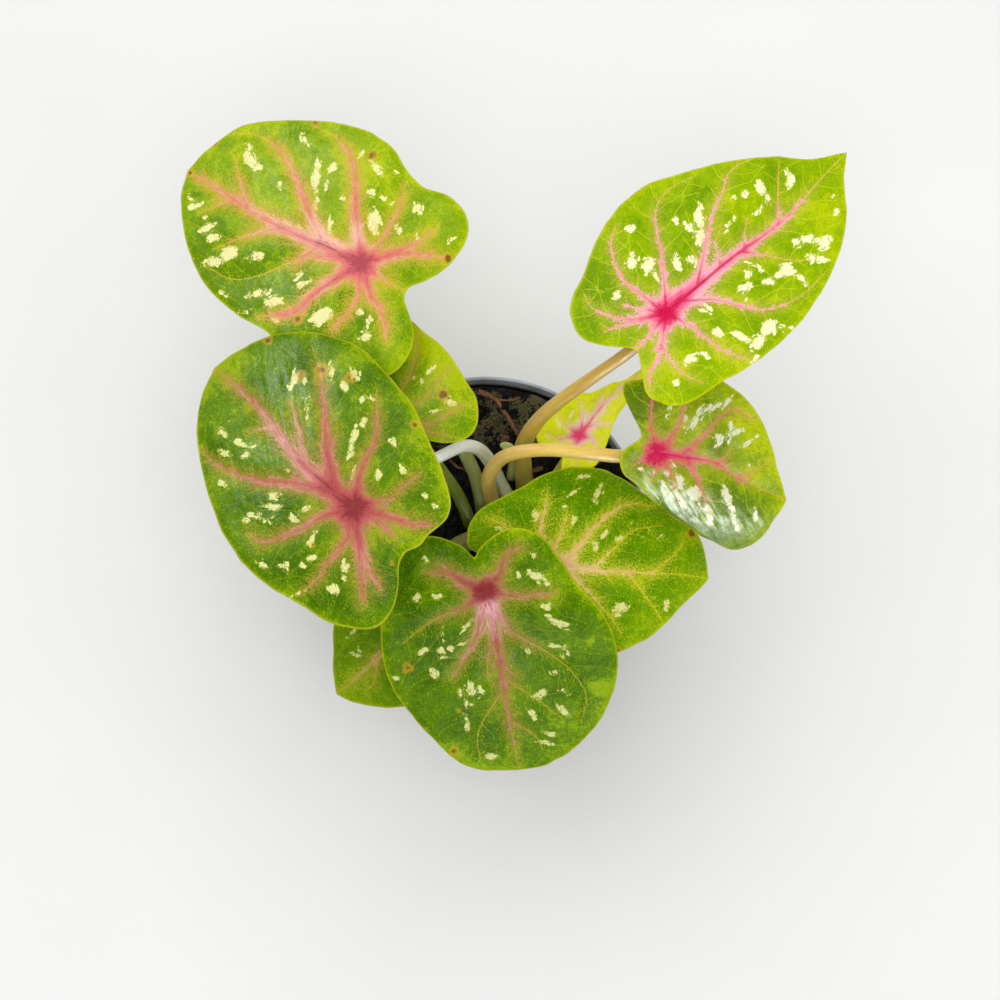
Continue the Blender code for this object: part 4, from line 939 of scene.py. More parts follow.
def build_stalk(name, look, material):
    """A stalk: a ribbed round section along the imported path, tapering to the leaf, its end in the blade. The
    sheath ends free, rounded off like a quarter circle."""
    first, last, points = STALKS[name]
    path = [foot_point(*points[0][:2], first), *points]
    normal = None
    held = name in LEAVES
    if held:
        place, normal = (part[0] for part in blade_points(LEAVES[name], np.zeros(1), np.zeros(1)))
        back = points[-1] - place
        back -= normal * (back @ normal)
        neck = place - normal * (NECK_DROP + 0.8) + back / np.linalg.norm(back) * NECK_BACK
        path += [neck, place - normal * 0.14]
    path = smooth_path(path, 0.5 if held else 0.3)
    part = np.linspace(0.0, 1.0, len(path))
    radii = first + (last - first) * np.minimum(1.0, 1.25 * part)
    radii *= 1 + 0.05 * wander(part * 40, part * 0, 6.0, 31)
    if held:
        radii *= 1 - 0.25 * np.clip((part - 0.985) / 0.015, 0.0, 1.0) ** 2
    else:
        radii *= np.sqrt(1 - np.clip((part - 0.9) / 0.1, 0.0, 0.985) ** 2)
    made, faces, skin = carried_ring(path, radii, STALK_SIDES, look.rib_depth / MM, 9, normal)
    along = np.append(np.repeat(part, STALK_SIDES), (0, 1))
    node = "stalk_" + name if held else "shoot_sheath"
    piece = mesh_object(node + "_skin", made, faces, material, dict(skin=skin, along=along))
    settled(piece, node)


def build_tuber(material):
    """The tuber: a flattened ball whose radius swells with rings of old leaf scars, a cosine of the height,
    and with random knobs."""
    sides = 72
    rise = np.linspace(-0.5 * np.pi, 0.5 * np.pi, 42)[1:-1, None]
    turned = round_turns(sides)
    knobs = wander(6 * np.cos(turned) + 3 * rise, 6 * np.sin(turned) - 2 * rise, 2.2, 41)
    swell = 0.975 + 0.012 * np.cos(22 * rise) + 0.022 * knobs
    grid = around(np.cos(rise) * swell * TUBER_RADIUS, np.sin(rise) * swell * TUBER_HALF_HEIGHT, turned)
    ends = [(0, 0, turn * 0.98 * TUBER_HALF_HEIGHT) for turn in (-1, 1)]
    points = np.concatenate([grid.reshape(-1, 3), ends]) + (*CROWN, TUBER_LEVEL)
    settled(mesh_object("tuber_skin", points, ring_faces(len(rise), sides), material), "tuber")


def rounded(radius, height, bend, start, end, count=6):
    """Points of an arc in the profile's plane: centre plus bend times (cos, sin) of angles in degrees."""
    turned = np.radians(np.linspace(start, end, count))
    return [(radius + bend * math.cos(a), height + bend * math.sin(a)) for a in turned]


def build_pot(material):
    """The pot: its profile turned about Z, with rounded foot, collar and rolled rim, then holes cut through
    the floor."""
    base, rim, top = POT_BASE_RADIUS, POT_RIM_RADIUS, POT_HEIGHT
    step = top - COLLAR_HEIGHT
    low = wall_radius(step)
    rise = np.linspace(1.2, step - 1.2, 12)
    wall = [(wall_radius(z), z) for z in rise]
    inner = [(wall_radius(z) - POT_WALL, z) for z in rise[::-1] if z > POT_FLOOR + 1.5]
    profile = (
        [(0.0, 0.35), (base - 2.4, 0.35), (base - 2.0, 0.0)]
        + rounded(base - 0.1, 0.6, 0.6, -90, 0) + wall
        + [(low, step - 0.4), (low + 0.1, step - 0.1)]
        + rounded(low + COLLAR_STEP - 0.6, step + 0.5, 0.5, -90, -5)
        + rounded(rim - 0.5, top - 2.0, 0.5, -10, 20, 4)
        + rounded(rim, top - 0.55, 0.55, -60, 80, 9)
        + rounded(rim - 0.7, top - 0.35, 0.35, 90, 160, 5)
        + [(rim - 1.05, top - 1.0), (rim - 1.1, top - 2.4)]
        + rounded(low + COLLAR_STEP - 1.6, step + 1.7, 0.4, 0, -80, 4)
        + [(low - 0.72, step + 0.9), (low - 0.82, step - 0.4)] + inner
        + rounded(base - 0.9, POT_FLOOR + 0.5, 0.5, -10, -90, 5) + [(0.0, POT_FLOOR)]
    )
    points, faces = turned_shape(profile, POT_SIDES)
    pot = mesh_object("pot_shell", points, faces, material)
    cutters = []
    under, over = -3.0, POT_FLOOR + 3.0
    for k in range(DRAIN_COUNT):
        angle = 2 * math.pi * (k + 0.5) / DRAIN_COUNT
        cutter = [(0.0, under), (DRAIN_RADIUS, under), (DRAIN_RADIUS, over), (0.0, over)]
        points, faces = turned_shape(cutter, 32)
        points += (DRAIN_CIRCLE * math.cos(angle), DRAIN_CIRCLE * math.sin(angle), 0.0)
        cutters.append(mesh_object("drain_cutter_%d" % k, points, faces, material))
        hole = pot.modifiers.new(cutters[-1].name, "BOOLEAN")
        hole.operation = "DIFFERENCE"
        hole.solver = "EXACT"
        hole.object = cutters[-1]
    cut = bpy.data.meshes.new_from_object(pot.evaluated_get(bpy.context.evaluated_depsgraph_get()))
    pot.modifiers.clear()
    pot.data = cut
    pot.data.set_sharp_from_angle(angle=math.radians(40))
    for cutter in cutters:
        bpy.data.objects.remove(cutter, do_unlink=True)
    settled(pot, "pot")


def moss_depth(x, y):
    """How far a point lies inside a cushion of moss: the greatest of one less distance over radius."""
    depth = np.full(np.shape(x), -FAR)
    for cx, cy, radius in CUSHIONS:
        depth = np.maximum(depth, 1 - np.hypot(x - cx, y - cy) / radius)
    return depth


def build_soil(material):
    """The soil: rings from the middle of its underside out, up the pot's wall and over the top to the
    middle, where the height is the finished soil's."""
    sides, rings = 340, 68
    edge = POT_RIM_RADIUS - 1.6 - 0.5 * GAP
    levels = np.array([POT_FLOOR + GAP, POT_FLOOR + 1.6, 12.0, 22.0, 32.0, 42.5, 45.2])
    walls = [POT_BASE_RADIUS - 2.0, *(wall_radius(levels[1:-1]) - POT_WALL - GAP), edge - 0.3]
    radius = np.concatenate([walls, edge * np.linspace(1.0, 0.0, rings, endpoint=False)])[:, None]
    grid = around(radius, 0.0, round_turns(sides))
    grid[..., 2] = soil_height(grid[..., 0], grid[..., 1])
    grid[:len(walls), :, 2] = levels[:, None]
    ends = [(0, 0, levels[0]), (0, 0, soil_height(0.0, 0.0))]
    points = np.concatenate([grid.reshape(-1, 3), ends])
    x, y, _ = points.T
    fields = dict(shade=0.4 * wander(x, y, 6.0, 25), moss=moss_depth(x, y))
    piece = mesh_object("soil_fill", points, ring_faces(len(radius), sides), material, fields)
    settled(piece, "soil")


def random_turns(random, count):
    """Rotation matrices in random directions: orthogonal parts of random matrices, kept right-handed."""
    turns = np.linalg.qr(random.normal(size=(count, 3, 3)))[0]
    turns[:, :, 0] *= np.linalg.det(turns)[:, None]
    return turns


def repeated(base, base_faces, turns, scales, places, rough=1.0):
    """Copies of one small closed form: each point is place plus turn times scale times base point."""
    points = np.einsum("nij,nkj->nki", turns, base[None] * scales[:, None] * rough) + places[:, None]
    step = (np.arange(len(places)) * len(base))[:, None, None]
    return points.reshape(-1, 3), [(np.asarray(block)[None] + step).reshape(-1, np.shape(block)[1])
                                   for block in base_faces]


def lump(fineness):
    """A small round form of triangles: a twenty-sided solid, or one split once more."""
    made = bmesh.new()
    bmesh.ops.create_icosphere(made, subdivisions=fineness, radius=1.0)
    points = np.array([v.co[:] for v in made.verts])
    faces = np.array([[v.index for v in face.verts] for face in made.faces])
    made.free()
    return points, faces


def build_crumbs(look, material):
    """Crumbs: twenty-sided lumps of random radius, stretch and turn, strewn evenly over the soil, and a few
    large ones that are split finer."""
    random = np.random.default_rng(61)
    blocks = []
    for fineness, count, swell in ((1, look.crumbs, 1.0), (2, look.crumbs // 6, 2.1)):
        base, faces = lump(fineness)
        radius = np.clip(look.crumb / MM * swell * np.exp(0.38 * random.normal(size=count)), 0.15, 1.5)
        away = (POT_RIM_RADIUS - 2.6 - radius) * np.sqrt(random.uniform(size=count))
        turned = random.uniform(0, 2 * np.pi, count)
        x, y = away * np.cos(turned), away * np.sin(turned)
        places = np.stack([x, y, soil_height(x, y) + 0.3 * radius], -1)
        scales = radius[:, None] * random.uniform(0.6, 1.15, (count, 3))
        rough = random.uniform(0.78, 1.12, (count, len(base), 1))
        points, made = repeated(base, [faces], random_turns(random, count), scales, places, rough)
        shade = np.repeat(random.uniform(-1, 1, count), len(base))
        blocks.append((points, made, dict(shade=shade, moss=np.full(len(points), -1.0))))
    settled(joined("soil_crumbs", blocks, material))


def joined(name, blocks, material):
    """One object from blocks of (points, faces, fields)."""
    points, faces, fields = zip(*blocks)
    starts = np.cumsum([0] + [len(part) for part in points])
    faces = [np.asarray(part) + start for made, start in zip(faces, starts) for part in made]
    fields = {key: np.concatenate([values[key] for values in fields]) for key in fields[0]}
    return mesh_object(name, np.concatenate(points), faces, material, fields)


def build_moss(material):
    """Moss: four-sided pointed leaflets that stand on each cushion, a dome of one less distance squared,
    and lean away from its middle."""
    random = np.random.default_rng(62)
    base = np.array([[1, 0, 0], [0, 1, 0], [-1, 0, 0], [0, -1, 0], [0, 0, 1.0]])
    faces = [[[0, 1, 4], [1, 2, 4], [2, 3, 4], [3, 0, 4]], [[3, 2, 1, 0]]]
    blocks = []
    for cx, cy, radius in CUSHIONS:
        count = int(26 * radius**2)
        away = np.sqrt(random.uniform(size=count))
        turned = random.uniform(0, 2 * np.pi, count)
        x, y = cx + radius * away * np.cos(turned), cy + radius * away * np.sin(turned)
        keep = np.hypot(x, y) < POT_RIM_RADIUS - 3.2
        x, y, away, turned = x[keep], y[keep], away[keep], turned[keep]
        count = len(x)
        places = np.stack([x, y, soil_height(x, y) - 0.25 + 0.55 * (1 - away**2)], -1)
        lean = 0.3 + 0.7 * away + random.normal(0, 0.25, count)
        heading = turned + random.normal(0, 0.7, count)
        turns = turns_about(2, heading) @ turns_about(1, lean)
        tall = random.uniform(0.6, 1.3, count)
        wide = random.uniform(0.1, 0.19, count)
        points, made = repeated(base, faces, turns, np.stack([wide, wide, tall], -1), places)
        shade = np.repeat(random.uniform(-1, 1, count), len(base))
        blocks.append((points, made, dict(shade=shade, tip=np.tile([0, 0, 0, 0, 1.0], count))))
    settled(joined("moss", blocks, material))


def build_twigs(material):
    """Twigs and roots: thin round sections along paths that rest on the soil."""
    blocks = []
    for index, (first, last, points) in enumerate(TWIGS):
        plan = np.array(points, float)
        plan[:, 2] += soil_height(plan[:, 0], plan[:, 1])
        path = smooth_path(plan, 0.35)
        x, y, _ = path.T
        path[:, :2] += 0.12 * np.stack([wander(x, y, 1.5, 51), wander(y, x, 1.5, 52)], -1)
        radii = np.linspace(first, last, len(path)) * (1 + 0.18 * wander(x, y, 1.0, 53))
        made, faces, skin = carried_ring(path, radii, sides=12, ribs=0.04, rib_count=4)
        blocks.append((made, faces, dict(skin=skin + (0, 0, 31.0 * index))))
    settled(joined("twigs_and_roots", blocks, material))


def build_bark(material):
    """Chips of bark: flat twelve-sided prisms with uneven outlines, a little tilted on the soil."""
    random = np.random.default_rng(63)
    x, y, half_length, half_width, heading = np.array(CHIPS, float).T
    count, sides = len(CHIPS), 12
    ring = around(1.0, 0.0, round_turns(sides))
    base = np.concatenate([ring * (0.9, 0.9, 1) + (0, 0, -0.5), ring, ring * (0.85, 0.85, 1) + (0, 0, 0.5),
                           [(0, 0, -0.5), (0, 0, 0.62)]])
    rough = np.ones((count, len(base), 3))
    rough[:, :3 * sides, :2] = np.tile(random.uniform(0.72, 1.12, (count, sides, 1)), (1, 3, 1))
    turns = turns_about(2, np.radians(heading)) @ turns_about(0, random.uniform(-0.3, 0.3, count))
    places = np.stack([x, y, soil_surface(x, y) + 0.75], -1)
    scales = np.stack([half_length, half_width, np.full(count, 0.5)], -1)
    points, made = repeated(base, ring_faces(3, sides), turns, scales, places, rough)
    shade = np.repeat(random.uniform(-1, 1, count), len(base))
    settled(mesh_object("bark_chips", points, made, material, dict(shade=shade)))


# Nodes

class Signal:
    """A socket's output that takes plain arithmetic: each sign places a maths node."""

    def __init__(self, nodes, socket):
        self.nodes = nodes
        self.socket = socket

    def __add__(self, other):
        return self.nodes.calc("ADD", self, other)

    def __sub__(self, other):
        return self.nodes.calc("SUBTRACT", self, other)

    def __mul__(self, other):
        return self.nodes.calc("MULTIPLY", self, other)

    def __truediv__(self, other):
        return self.nodes.calc("DIVIDE", self, other)

    def __abs__(self):
        return self.nodes.calc("ABSOLUTE", self, 0.0)


class Nodes:
    """A node tree, and for a material its shader, with short ways to add nodes."""

    def __init__(self, tree):
        self.tree = tree
        self.shader = tree.nodes.get("Principled BSDF")

    def feed(self, socket, value):
        """Links a signal to a socket, or sets a value there."""
        if isinstance(value, Signal):
            self.tree.links.new(value.socket, socket)
        elif socket.type == "RGBA":
            socket.default_value = (*value, 1.0)
        else:
            socket.default_value = value

    def add(self, kind, inputs, output=0, **settings):
        """Adds a node with settings and inputs and returns one of its outputs."""
        made = self.tree.nodes.new("ShaderNode" + kind)
        for key, value in settings.items():
            setattr(made, key, value)
        for key, value in inputs.items():
            self.feed(made.inputs[key], value)
        return Signal(self, made.outputs[output])

    def shade(self, **values):
        """Feeds the shader's sockets, with _ for a blank in their names."""
        for key, value in values.items():
            self.feed(self.shader.inputs[key.replace("_", " ")], value)

    def relief(self, height, strength, depth):
        """Feeds a height to the shader's normal, with the depth in metres."""
        inputs = {"Height": height, "Strength": strength, "Distance": depth}
        self.shade(Normal=self.add("Bump", inputs))

    def calc(self, operation, a, b):
        """A maths node on two values."""
        return self.add("Math", {0: a, 1: b}, operation=operation)

    def band(self, value, low, high, to_low=0.0, to_high=1.0):
        """A smooth step from one value at low to another at high."""
        return self.add("MapRange", {0: value, 1: low, 2: high, 3: to_low, 4: to_high},
                        interpolation_type="SMOOTHSTEP")

    def blend(self, factor, a, b):
        """A mix of two colours."""
        return self.add("Mix", {0: factor, 6: a, 7: b}, 2, data_type="RGBA")

    def noise(self, vector, scale, detail=3.0, roughness=0.55, output=0):
        """Soft noise of about 0 to 1."""
        inputs = {"Vector": vector, "Scale": scale, "Detail": detail, "Roughness": roughness}
        return self.add("TexNoise", inputs, output)

    def cells(self, vector, scale, output, feature="F1"):
        """An output of a cell texture."""
        return self.add("TexVoronoi", {"Vector": vector, "Scale": scale}, output, feature=feature)

    def borders(self, vector, scale):
        """The distance to the borders of a cell texture."""
        return self.cells(vector, scale, "Distance", "DISTANCE_TO_EDGE")

    def stretched(self, vector, scale):
        """A vector whose parts are scaled."""
        return self.add("VectorMath", {0: vector, 1: scale}, operation="MULTIPLY")

    def moved(self, vector, warp, amount):
        """A vector moved in its first two parts by a warp times an amount."""
        inputs = {0: warp, 1: (amount, amount, 0.0), 2: vector}
        return self.add("VectorMath", inputs, operation="MULTIPLY_ADD")

    def field(self, name, output="Fac"):
        """A piece's attribute."""
        return self.add("Attribute", {}, output, attribute_name=name)

    def millimetres(self):
        """The piece's own coordinates in millimetres."""
        return self.stretched(self.add("TexCoord", {}, "Object"), (1000.0, 1000.0, 1000.0))

    def part(self, vector, axis):
        """One part of a vector."""
        return self.add("SeparateXYZ", {0: vector}, axis)

    def vector(self, *parts):
        """A vector of up to three parts."""
        return self.add("CombineXYZ", dict(enumerate(parts)))

    def group(self, build, **inputs):
        """Places the node group that a function builds once, and returns its outputs by name."""
        made = self.tree.nodes.new("ShaderNodeGroup")
        made.node_tree = bpy.data.node_groups.get(build.__name__) or build(build.__name__)
        for key, value in inputs.items():
            self.feed(made.inputs[key], value)
        return {socket.name: Signal(self, socket) for socket in made.outputs}

    def close(self, **results):
        """Ends a group with named outputs and returns its tree."""
        for title in results:
            self.tree.interface.new_socket(title, in_out="OUTPUT", socket_type="NodeSocketFloat")
        end = self.tree.nodes.new("NodeGroupOutput").inputs
        for title, value in results.items():
            self.feed(end[title], value)
        return self.tree


def new_group(name, **inputs):
    """A shader node group whose inputs are values, or vectors where None is given: its nodes and what its
    inputs bring."""
    tree = bpy.data.node_groups.new(name, "ShaderNodeTree")
    for title, value in inputs.items():
        kind = "NodeSocketVector" if value is None else "NodeSocketFloat"
        made = tree.interface.new_socket(title, in_out="INPUT", socket_type=kind)
        if value is not None:
            made.default_value = value
    nodes = Nodes(tree)
    given = tree.nodes.new("NodeGroupInput").outputs
    return nodes, *(Signal(nodes, given[title]) for title in inputs)


def leaf_patchiness(name):
    """Patches of a leaf's green: broad and small ones from -1 to 1, specks from 0 to 1, and the plain noise
    of dust."""
    n, vector = new_group(name, Vector=None)
    return n.close(Broad=n.band(n.noise(vector, 0.16), 0.3, 0.7, -1.0, 1.0),
                   Small=n.band(n.noise(vector, 0.75, 4.0, 0.65), 0.25, 0.75, -1.0, 1.0),
                   Specks=n.band(n.noise(vector, 3.1, 1.5, 0.6), 0.52, 0.68),
                   Dust=n.noise(vector, 2.7, 2.0, 0.7))


def feathered_edge(name):
    """The feathered edge of a colour that follows a vein: a field in millimetres, over a reach, plus a grain
    of dots and of strands that lean forward off the vein. Where the sum passes a level the colour is there,
    so it thins out to dust. Solid is the colour, Fringe a wider, thinner dust, Level the clouded field."""
    n, inside, flow, vector, spread = new_group(name, Field=0.0, Flow=None, Vector=None, Reach=1.0)
    streaks = n.noise(n.stretched(flow, (0.4, 2.4, 1.0)), 1.0, 4.0, 0.65)
    across = n.part(flow, "Y")
    lean = abs(across) * -1.3 + n.part(flow, "X")
    strands = n.noise(n.vector(lean * 2.3, across * 0.6, n.part(flow, "Z")), 1.0, 3.0, 0.65)
    clouds = n.noise(vector, 0.8, 3.0, 0.6)
    grain = n.band(strands * 0.4 + n.noise(vector, 3.0, 2.0, 0.65) * 0.6, 0.36, 0.64)
    level = ((clouds - 0.5) * 0.9 + inside) / spread
    return n.close(Solid=n.band(level + grain, 0.35, 0.75), Level=level, Streaks=n.band(streaks, 0.38, 0.66),
                   Fringe=n.band((level + 2.3) * 0.34 + grain, 0.8, 1.1))


def vein_line(name):
    """A thin line along a vein: a distance with a sign for the side is compared with a half-width, and the
    plain one keeps out the jumps of sign midway between veins."""
    n, across, distance, width = new_group(name, Across=0.0, Distance=0.0, Width=0.2)
    near = n.band(distance - width, 0.6, 0.35)
    return n.close(Mask=n.band(abs(across) / width, 1.0, 0.3) * near)


def leaf_net(name):
    """The net of small veins: distances to the edges of warped cells of three sizes give lines of 0 to 1,
    finer lines, and a height."""
    n, vector = new_group(name, Vector=None)
    bent = n.moved(vector, n.noise(vector, 0.3, 1.0, 0.5, "Color"), 1.3)
    edges = [n.borders(bent, scale) for scale in (0.3, 0.8, 2.1)]
    large, middle, small = (n.band(edge, high, 0.0) for edge, high in zip(edges, (0.03, 0.06, 0.14)))
    pillows = n.band(edges[1], 0.0, 0.4) * 0.6 + n.band(edges[2], 0.0, 0.45) * 0.35
    return n.close(Lines=n.calc("MAXIMUM", large, middle * 0.6), Fine=n.calc("MAXIMUM", small, middle),
                   Height=large * -0.3 + pillows)


def shard_edge(name):
    """The angular edge of a blotch: a field in millimetres, changed by a random amount in each small long
    cell and lowered at the cells' borders, gives the blotch and a soft rim round it. The shard vector runs
    along and across the blotch."""
    n, inside, shard, vector, ragged = new_group(name, Field=0.0, Shard=None, Vector=None, Ragged=0.5)
    bent = n.moved(shard, n.noise(vector, 1.6, 2.0, 0.5, "Color"), 0.5)
    bent = n.stretched(bent, (0.8, 1.35, 1.0))
    pick = n.add("SeparateColor", {0: n.cells(bent, 1.0, "Color")})
    wild = n.band(n.borders(bent, 1.0), 0.1, 0.01) * -0.4 + (pick - 0.5) * ragged
    value = inside + wild + (n.noise(vector, 3.6, 3.0, 0.7) - 0.5) * 0.6
    return n.close(Mask=n.band(value, -0.02, 0.06), Rim=n.band(value, -0.35, 0.03))


def lengthwise_streaks(name):
    """Streaks along a stalk or a twig from its skin coordinates: broad ones and thin ones, 0 to 1."""
    n, vector, stretch = new_group(name, Vector=None, Stretch=0.12)
    along = n.stretched(vector, n.vector(1.0, 1.0, stretch))
    return n.close(Broad=n.band(n.noise(along, 1.1), 0.38, 0.64),
                   Thin=n.band(n.noise(along, 4.2, 3.0, 0.7), 0.42, 0.66))


def earthy_grain(name):
    """Grain of soil, bark and skin: a value of 0 to 1 with lumps and specks, and a height."""
    n, vector, scale = new_group(name, Vector=None, Scale=1.0)
    lumps = n.noise(vector, scale * 0.9, 6.0, 0.68)
    fine = n.noise(vector, scale * 4.5, 4.0, 0.7)
    return n.close(Value=n.band(lumps, 0.32, 0.68), Specks=n.band(fine, 0.58, 0.72),
                   Height=fine * 0.6 + lumps)


def dust_and_scuffs(name):
    """Dried dust in patches and thin scuffs round a pot, 0 to 1."""
    n, vector, amount = new_group(name, Vector=None, Amount=0.5)
    heap = n.noise(vector, 2.2, 3.0, 0.7) * 0.55 + n.noise(vector, 0.11, 6.0, 0.7)
    lines = n.noise(n.stretched(vector, (0.5, 0.5, 7.0)), 0.8, 2.0, 0.7)
    return n.close(Dust=n.band(heap + amount * 0.45, 0.93, 1.21), Scuffs=n.band(lines, 0.64, 0.72))


# Materials

def new_material(name, rough, specular=0.5):
    """A material and its nodes."""
    made = bpy.data.materials.new(name)
    made.use_nodes = True
    n = Nodes(made.node_tree)
    n.shade(Roughness=rough, Specular_IOR_Level=specular)
    return made, n


def dimmed(colour, amount):
    """A colour times an amount."""
    return tuple(amount * part for part in colour)


def halfway(a, b):
    """The middle of two colours."""
    return tuple(0.5 * (one + other) for one, other in zip(a, b))


def leaf_material(name, look):
    """A blade's skin: patchy green with a pale net, lime toward the margin, yellow dust, cream blotches,
    yellow veins that turn pink toward the heart and thin out to dust, a few age spots, waxy patches, and a
    paler underside. The lime toward the margin is partly painted light where the margin catches the backlight,
    and the pale patches of the pink are partly a painted highlight on the raised vein flanks."""
    own = LOOKS[name]
    made, n = new_material("leaf_skin_" + name, look.gloss, own.shine)
    n.shade(Coat_Roughness=0.34)
    deep, middle, lime, pink, pale, dark, tan, cream = (screen(colour) for colour in COLOURS[name])
    yellow = halfway(lime, screen(YELLOW_DUST))
    plane = n.field("plane", "Vector")
    patches = n.group(leaf_patchiness, Vector=plane)
    net = n.group(leaf_net, Vector=plane)
    small, dust = patches["Small"], patches["Dust"]
    keys = "edge pink vein across heft branch".split()
    edge, pink_field, vein, across, heft, branch_away = (n.field(key) for key in keys)
    tone = patches["Broad"] * 0.4 + n.field("tone") + small * 0.3 + (dust - 0.57) * 1.6
    # Lime toward the margin: partly the leaf's own colour, partly painted light where the margin catches the
    # backlight.
    tone = tone + n.band(edge, 2.4, 0.2, 0.0, 0.35) + n.band(pink_field, -3.2, -0.4, 0.0, 0.3)
    green = n.blend(n.band(tone, -0.7, 0.05), deep, middle)
    green = n.blend(n.band(tone, 0.05, 0.9), green, lime)
    branch = n.group(vein_line, Across=n.field("branch_across"), Distance=branch_away, Width=0.12)["Mask"]
    collecting = n.band(abs(small * 0.5 + edge - 2.2), 0.13, 0.03, 0.0, 0.5)
    lines = n.calc("MAXIMUM", n.calc("MAXIMUM", net["Lines"] * 0.15, branch), collecting)
    green = n.blend(lines * (0.8 * own.netted), green, halfway(lime, screen(VEIN_LIME)))
    green = n.blend(net["Fine"] * 0.08, green, lime)
    green = n.blend(patches["Specks"] * 0.45, green, deep)

    specks = dust + n.band(vein, 2.4, 0.2, 0.0, 0.06) + small * 0.05
    specks = n.band(specks, 0.65 - 0.06 * own.dusty, 0.7 - 0.06 * own.dusty, 0.0, 0.3 + 0.5 * own.dusty)
    green = n.blend(specks, green, yellow)
    width = heft * 0.26 + 0.09
    line = n.group(vein_line, Across=across, Distance=vein, Width=width)["Mask"]
    colour = n.blend(line * n.band(dust, 0.36, 0.58, 0.3, 0.9), green, halfway(yellow, tan))

    shards = n.group(shard_edge, Field=n.field("blotch"), Shard=n.field("shard", "Vector"), Vector=plane,
                     Ragged=0.9)
    colour = n.blend(shards["Rim"] * 0.35, colour, yellow)
    cream = tuple(a * b for a, b in zip(cream, look.cream))
    colour = n.blend(shards["Mask"] * 0.95, colour, n.blend(net["Fine"] * 0.25, cream, dimmed(cream, 0.8)))

    webbed = pink_field + n.band(branch_away, 0.5, 0.0, -0.05, 0.3)
    feather = n.group(feathered_edge, Field=webbed, Flow=n.field("flow", "Vector"), Vector=plane, Reach=0.9)
    solid, streaks = feather["Solid"], feather["Streaks"]
    colour = n.blend(feather["Fringe"] * own.dusting, colour, tan)
    uneven = (dust - 0.5) * 1.2 + streaks
    border = n.band(feather["Level"], 1.7, 0.0)
    # Pale pink: the rim of the pink is the leaf's own colour; the glow patches are partly a painted highlight
    # on the raised vein flanks.
    glow = border * (1.1 * own.paling) + n.field("glow") + uneven * 0.5
    rosy = n.blend(n.band(glow, 0.2, 1.3), pink, pale)
    rosy = n.blend(border * (0.7 * (1 - own.paling)), rosy, tan)
    wider = n.group(vein_line, Across=across, Distance=vein, Width=width * (0.9 + 0.6 * own.cored))["Mask"]
    core = wider * n.band(pink_field, 0.1, 1.0) * n.band(heft, 0.3, 0.9, 0.2, 1.0)
    rosy = n.blend(core * own.cored, rosy, dark)
    deeper = uneven * 1.1 + n.calc("MAXIMUM", pink_field, n.field("heart") + 1.9)
    rosy = n.blend(n.band(deeper, 1.5, 3.1, 0.0, 0.92), rosy, dark)
    bare = border * n.band(streaks, 0.7, 0.1, 0.0, 0.8 * (1 - own.paling))
    colour = n.blend(solid - solid * bare, colour, rosy)

    blot = small * 0.25 + n.field("spot")
    colour = n.blend(n.band(blot, -0.5, 0.1, 0.0, 0.5), colour, screen(SPOT_HALO))
    colour = n.blend(n.band(blot, 0.0, 0.5, 0.0, 0.85), colour, look.rust)
    colour = n.blend(n.band(edge, 0.42, 0.12, 0.0, 0.5), colour, yellow)
    upper = n.field("upper")
    colour = n.blend(upper, n.blend(0.6, colour, screen(UNDERSIDE)), colour)
    along, aside = (n.add("VectorMath", {0: plane, 1: way}, "Value", operation="DOT_PRODUCT")
                    for way in ((0.13, -0.08, 0.0), (0.5, 0.8, 0.0)))
    silk = n.band(n.noise(n.vector(along, aside), 1.0, 3.0, 0.6), 0.36, 0.6)
    n.shade(Base_Color=colour, Roughness=small * 0.05 + look.gloss - core * 0.06,
            Coat_Weight=n.field("waxy") * silk * upper)
    n.relief(small * 0.3 + net["Height"], 0.5, 0.00012)
    return made


def stalk_material(name, look):
    """A stalk's skin: green at the foot, paler or tan to the leaf, with lengthwise streaks."""
    made, n = new_material("stalk_skin_" + name, look.gloss, 1.0 if name == "left" else 0.6)
    foot, top, streak = (screen(colour) for colour in STALK_COLOURS[name])
    skin = n.field("skin", "Vector")
    streaks = n.group(lengthwise_streaks, Vector=skin, Stretch=0.1)
    mottle = n.noise(skin, 0.9, 4.0, 0.65)
    colour = n.blend(n.band((mottle - 0.5) * 0.5 + n.field("along"), 0.1, 0.75), foot, top)
    colour = n.blend(streaks["Broad"] * 0.4, colour, streak)
    colour = n.blend(streaks["Thin"] * 0.3, colour, streak)
    pale = tuple(0.3 + 0.7 * part for part in top)
    n.shade(Base_Color=n.blend(n.band(mottle, 0.58, 0.72, 0.0, 0.35), colour, pale),
            Roughness=n.band(mottle, 0.3, 0.7, look.gloss - 0.05, look.gloss + 0.12))
    n.relief(streaks["Broad"] + streaks["Thin"], 0.4, 0.00006)
    return made


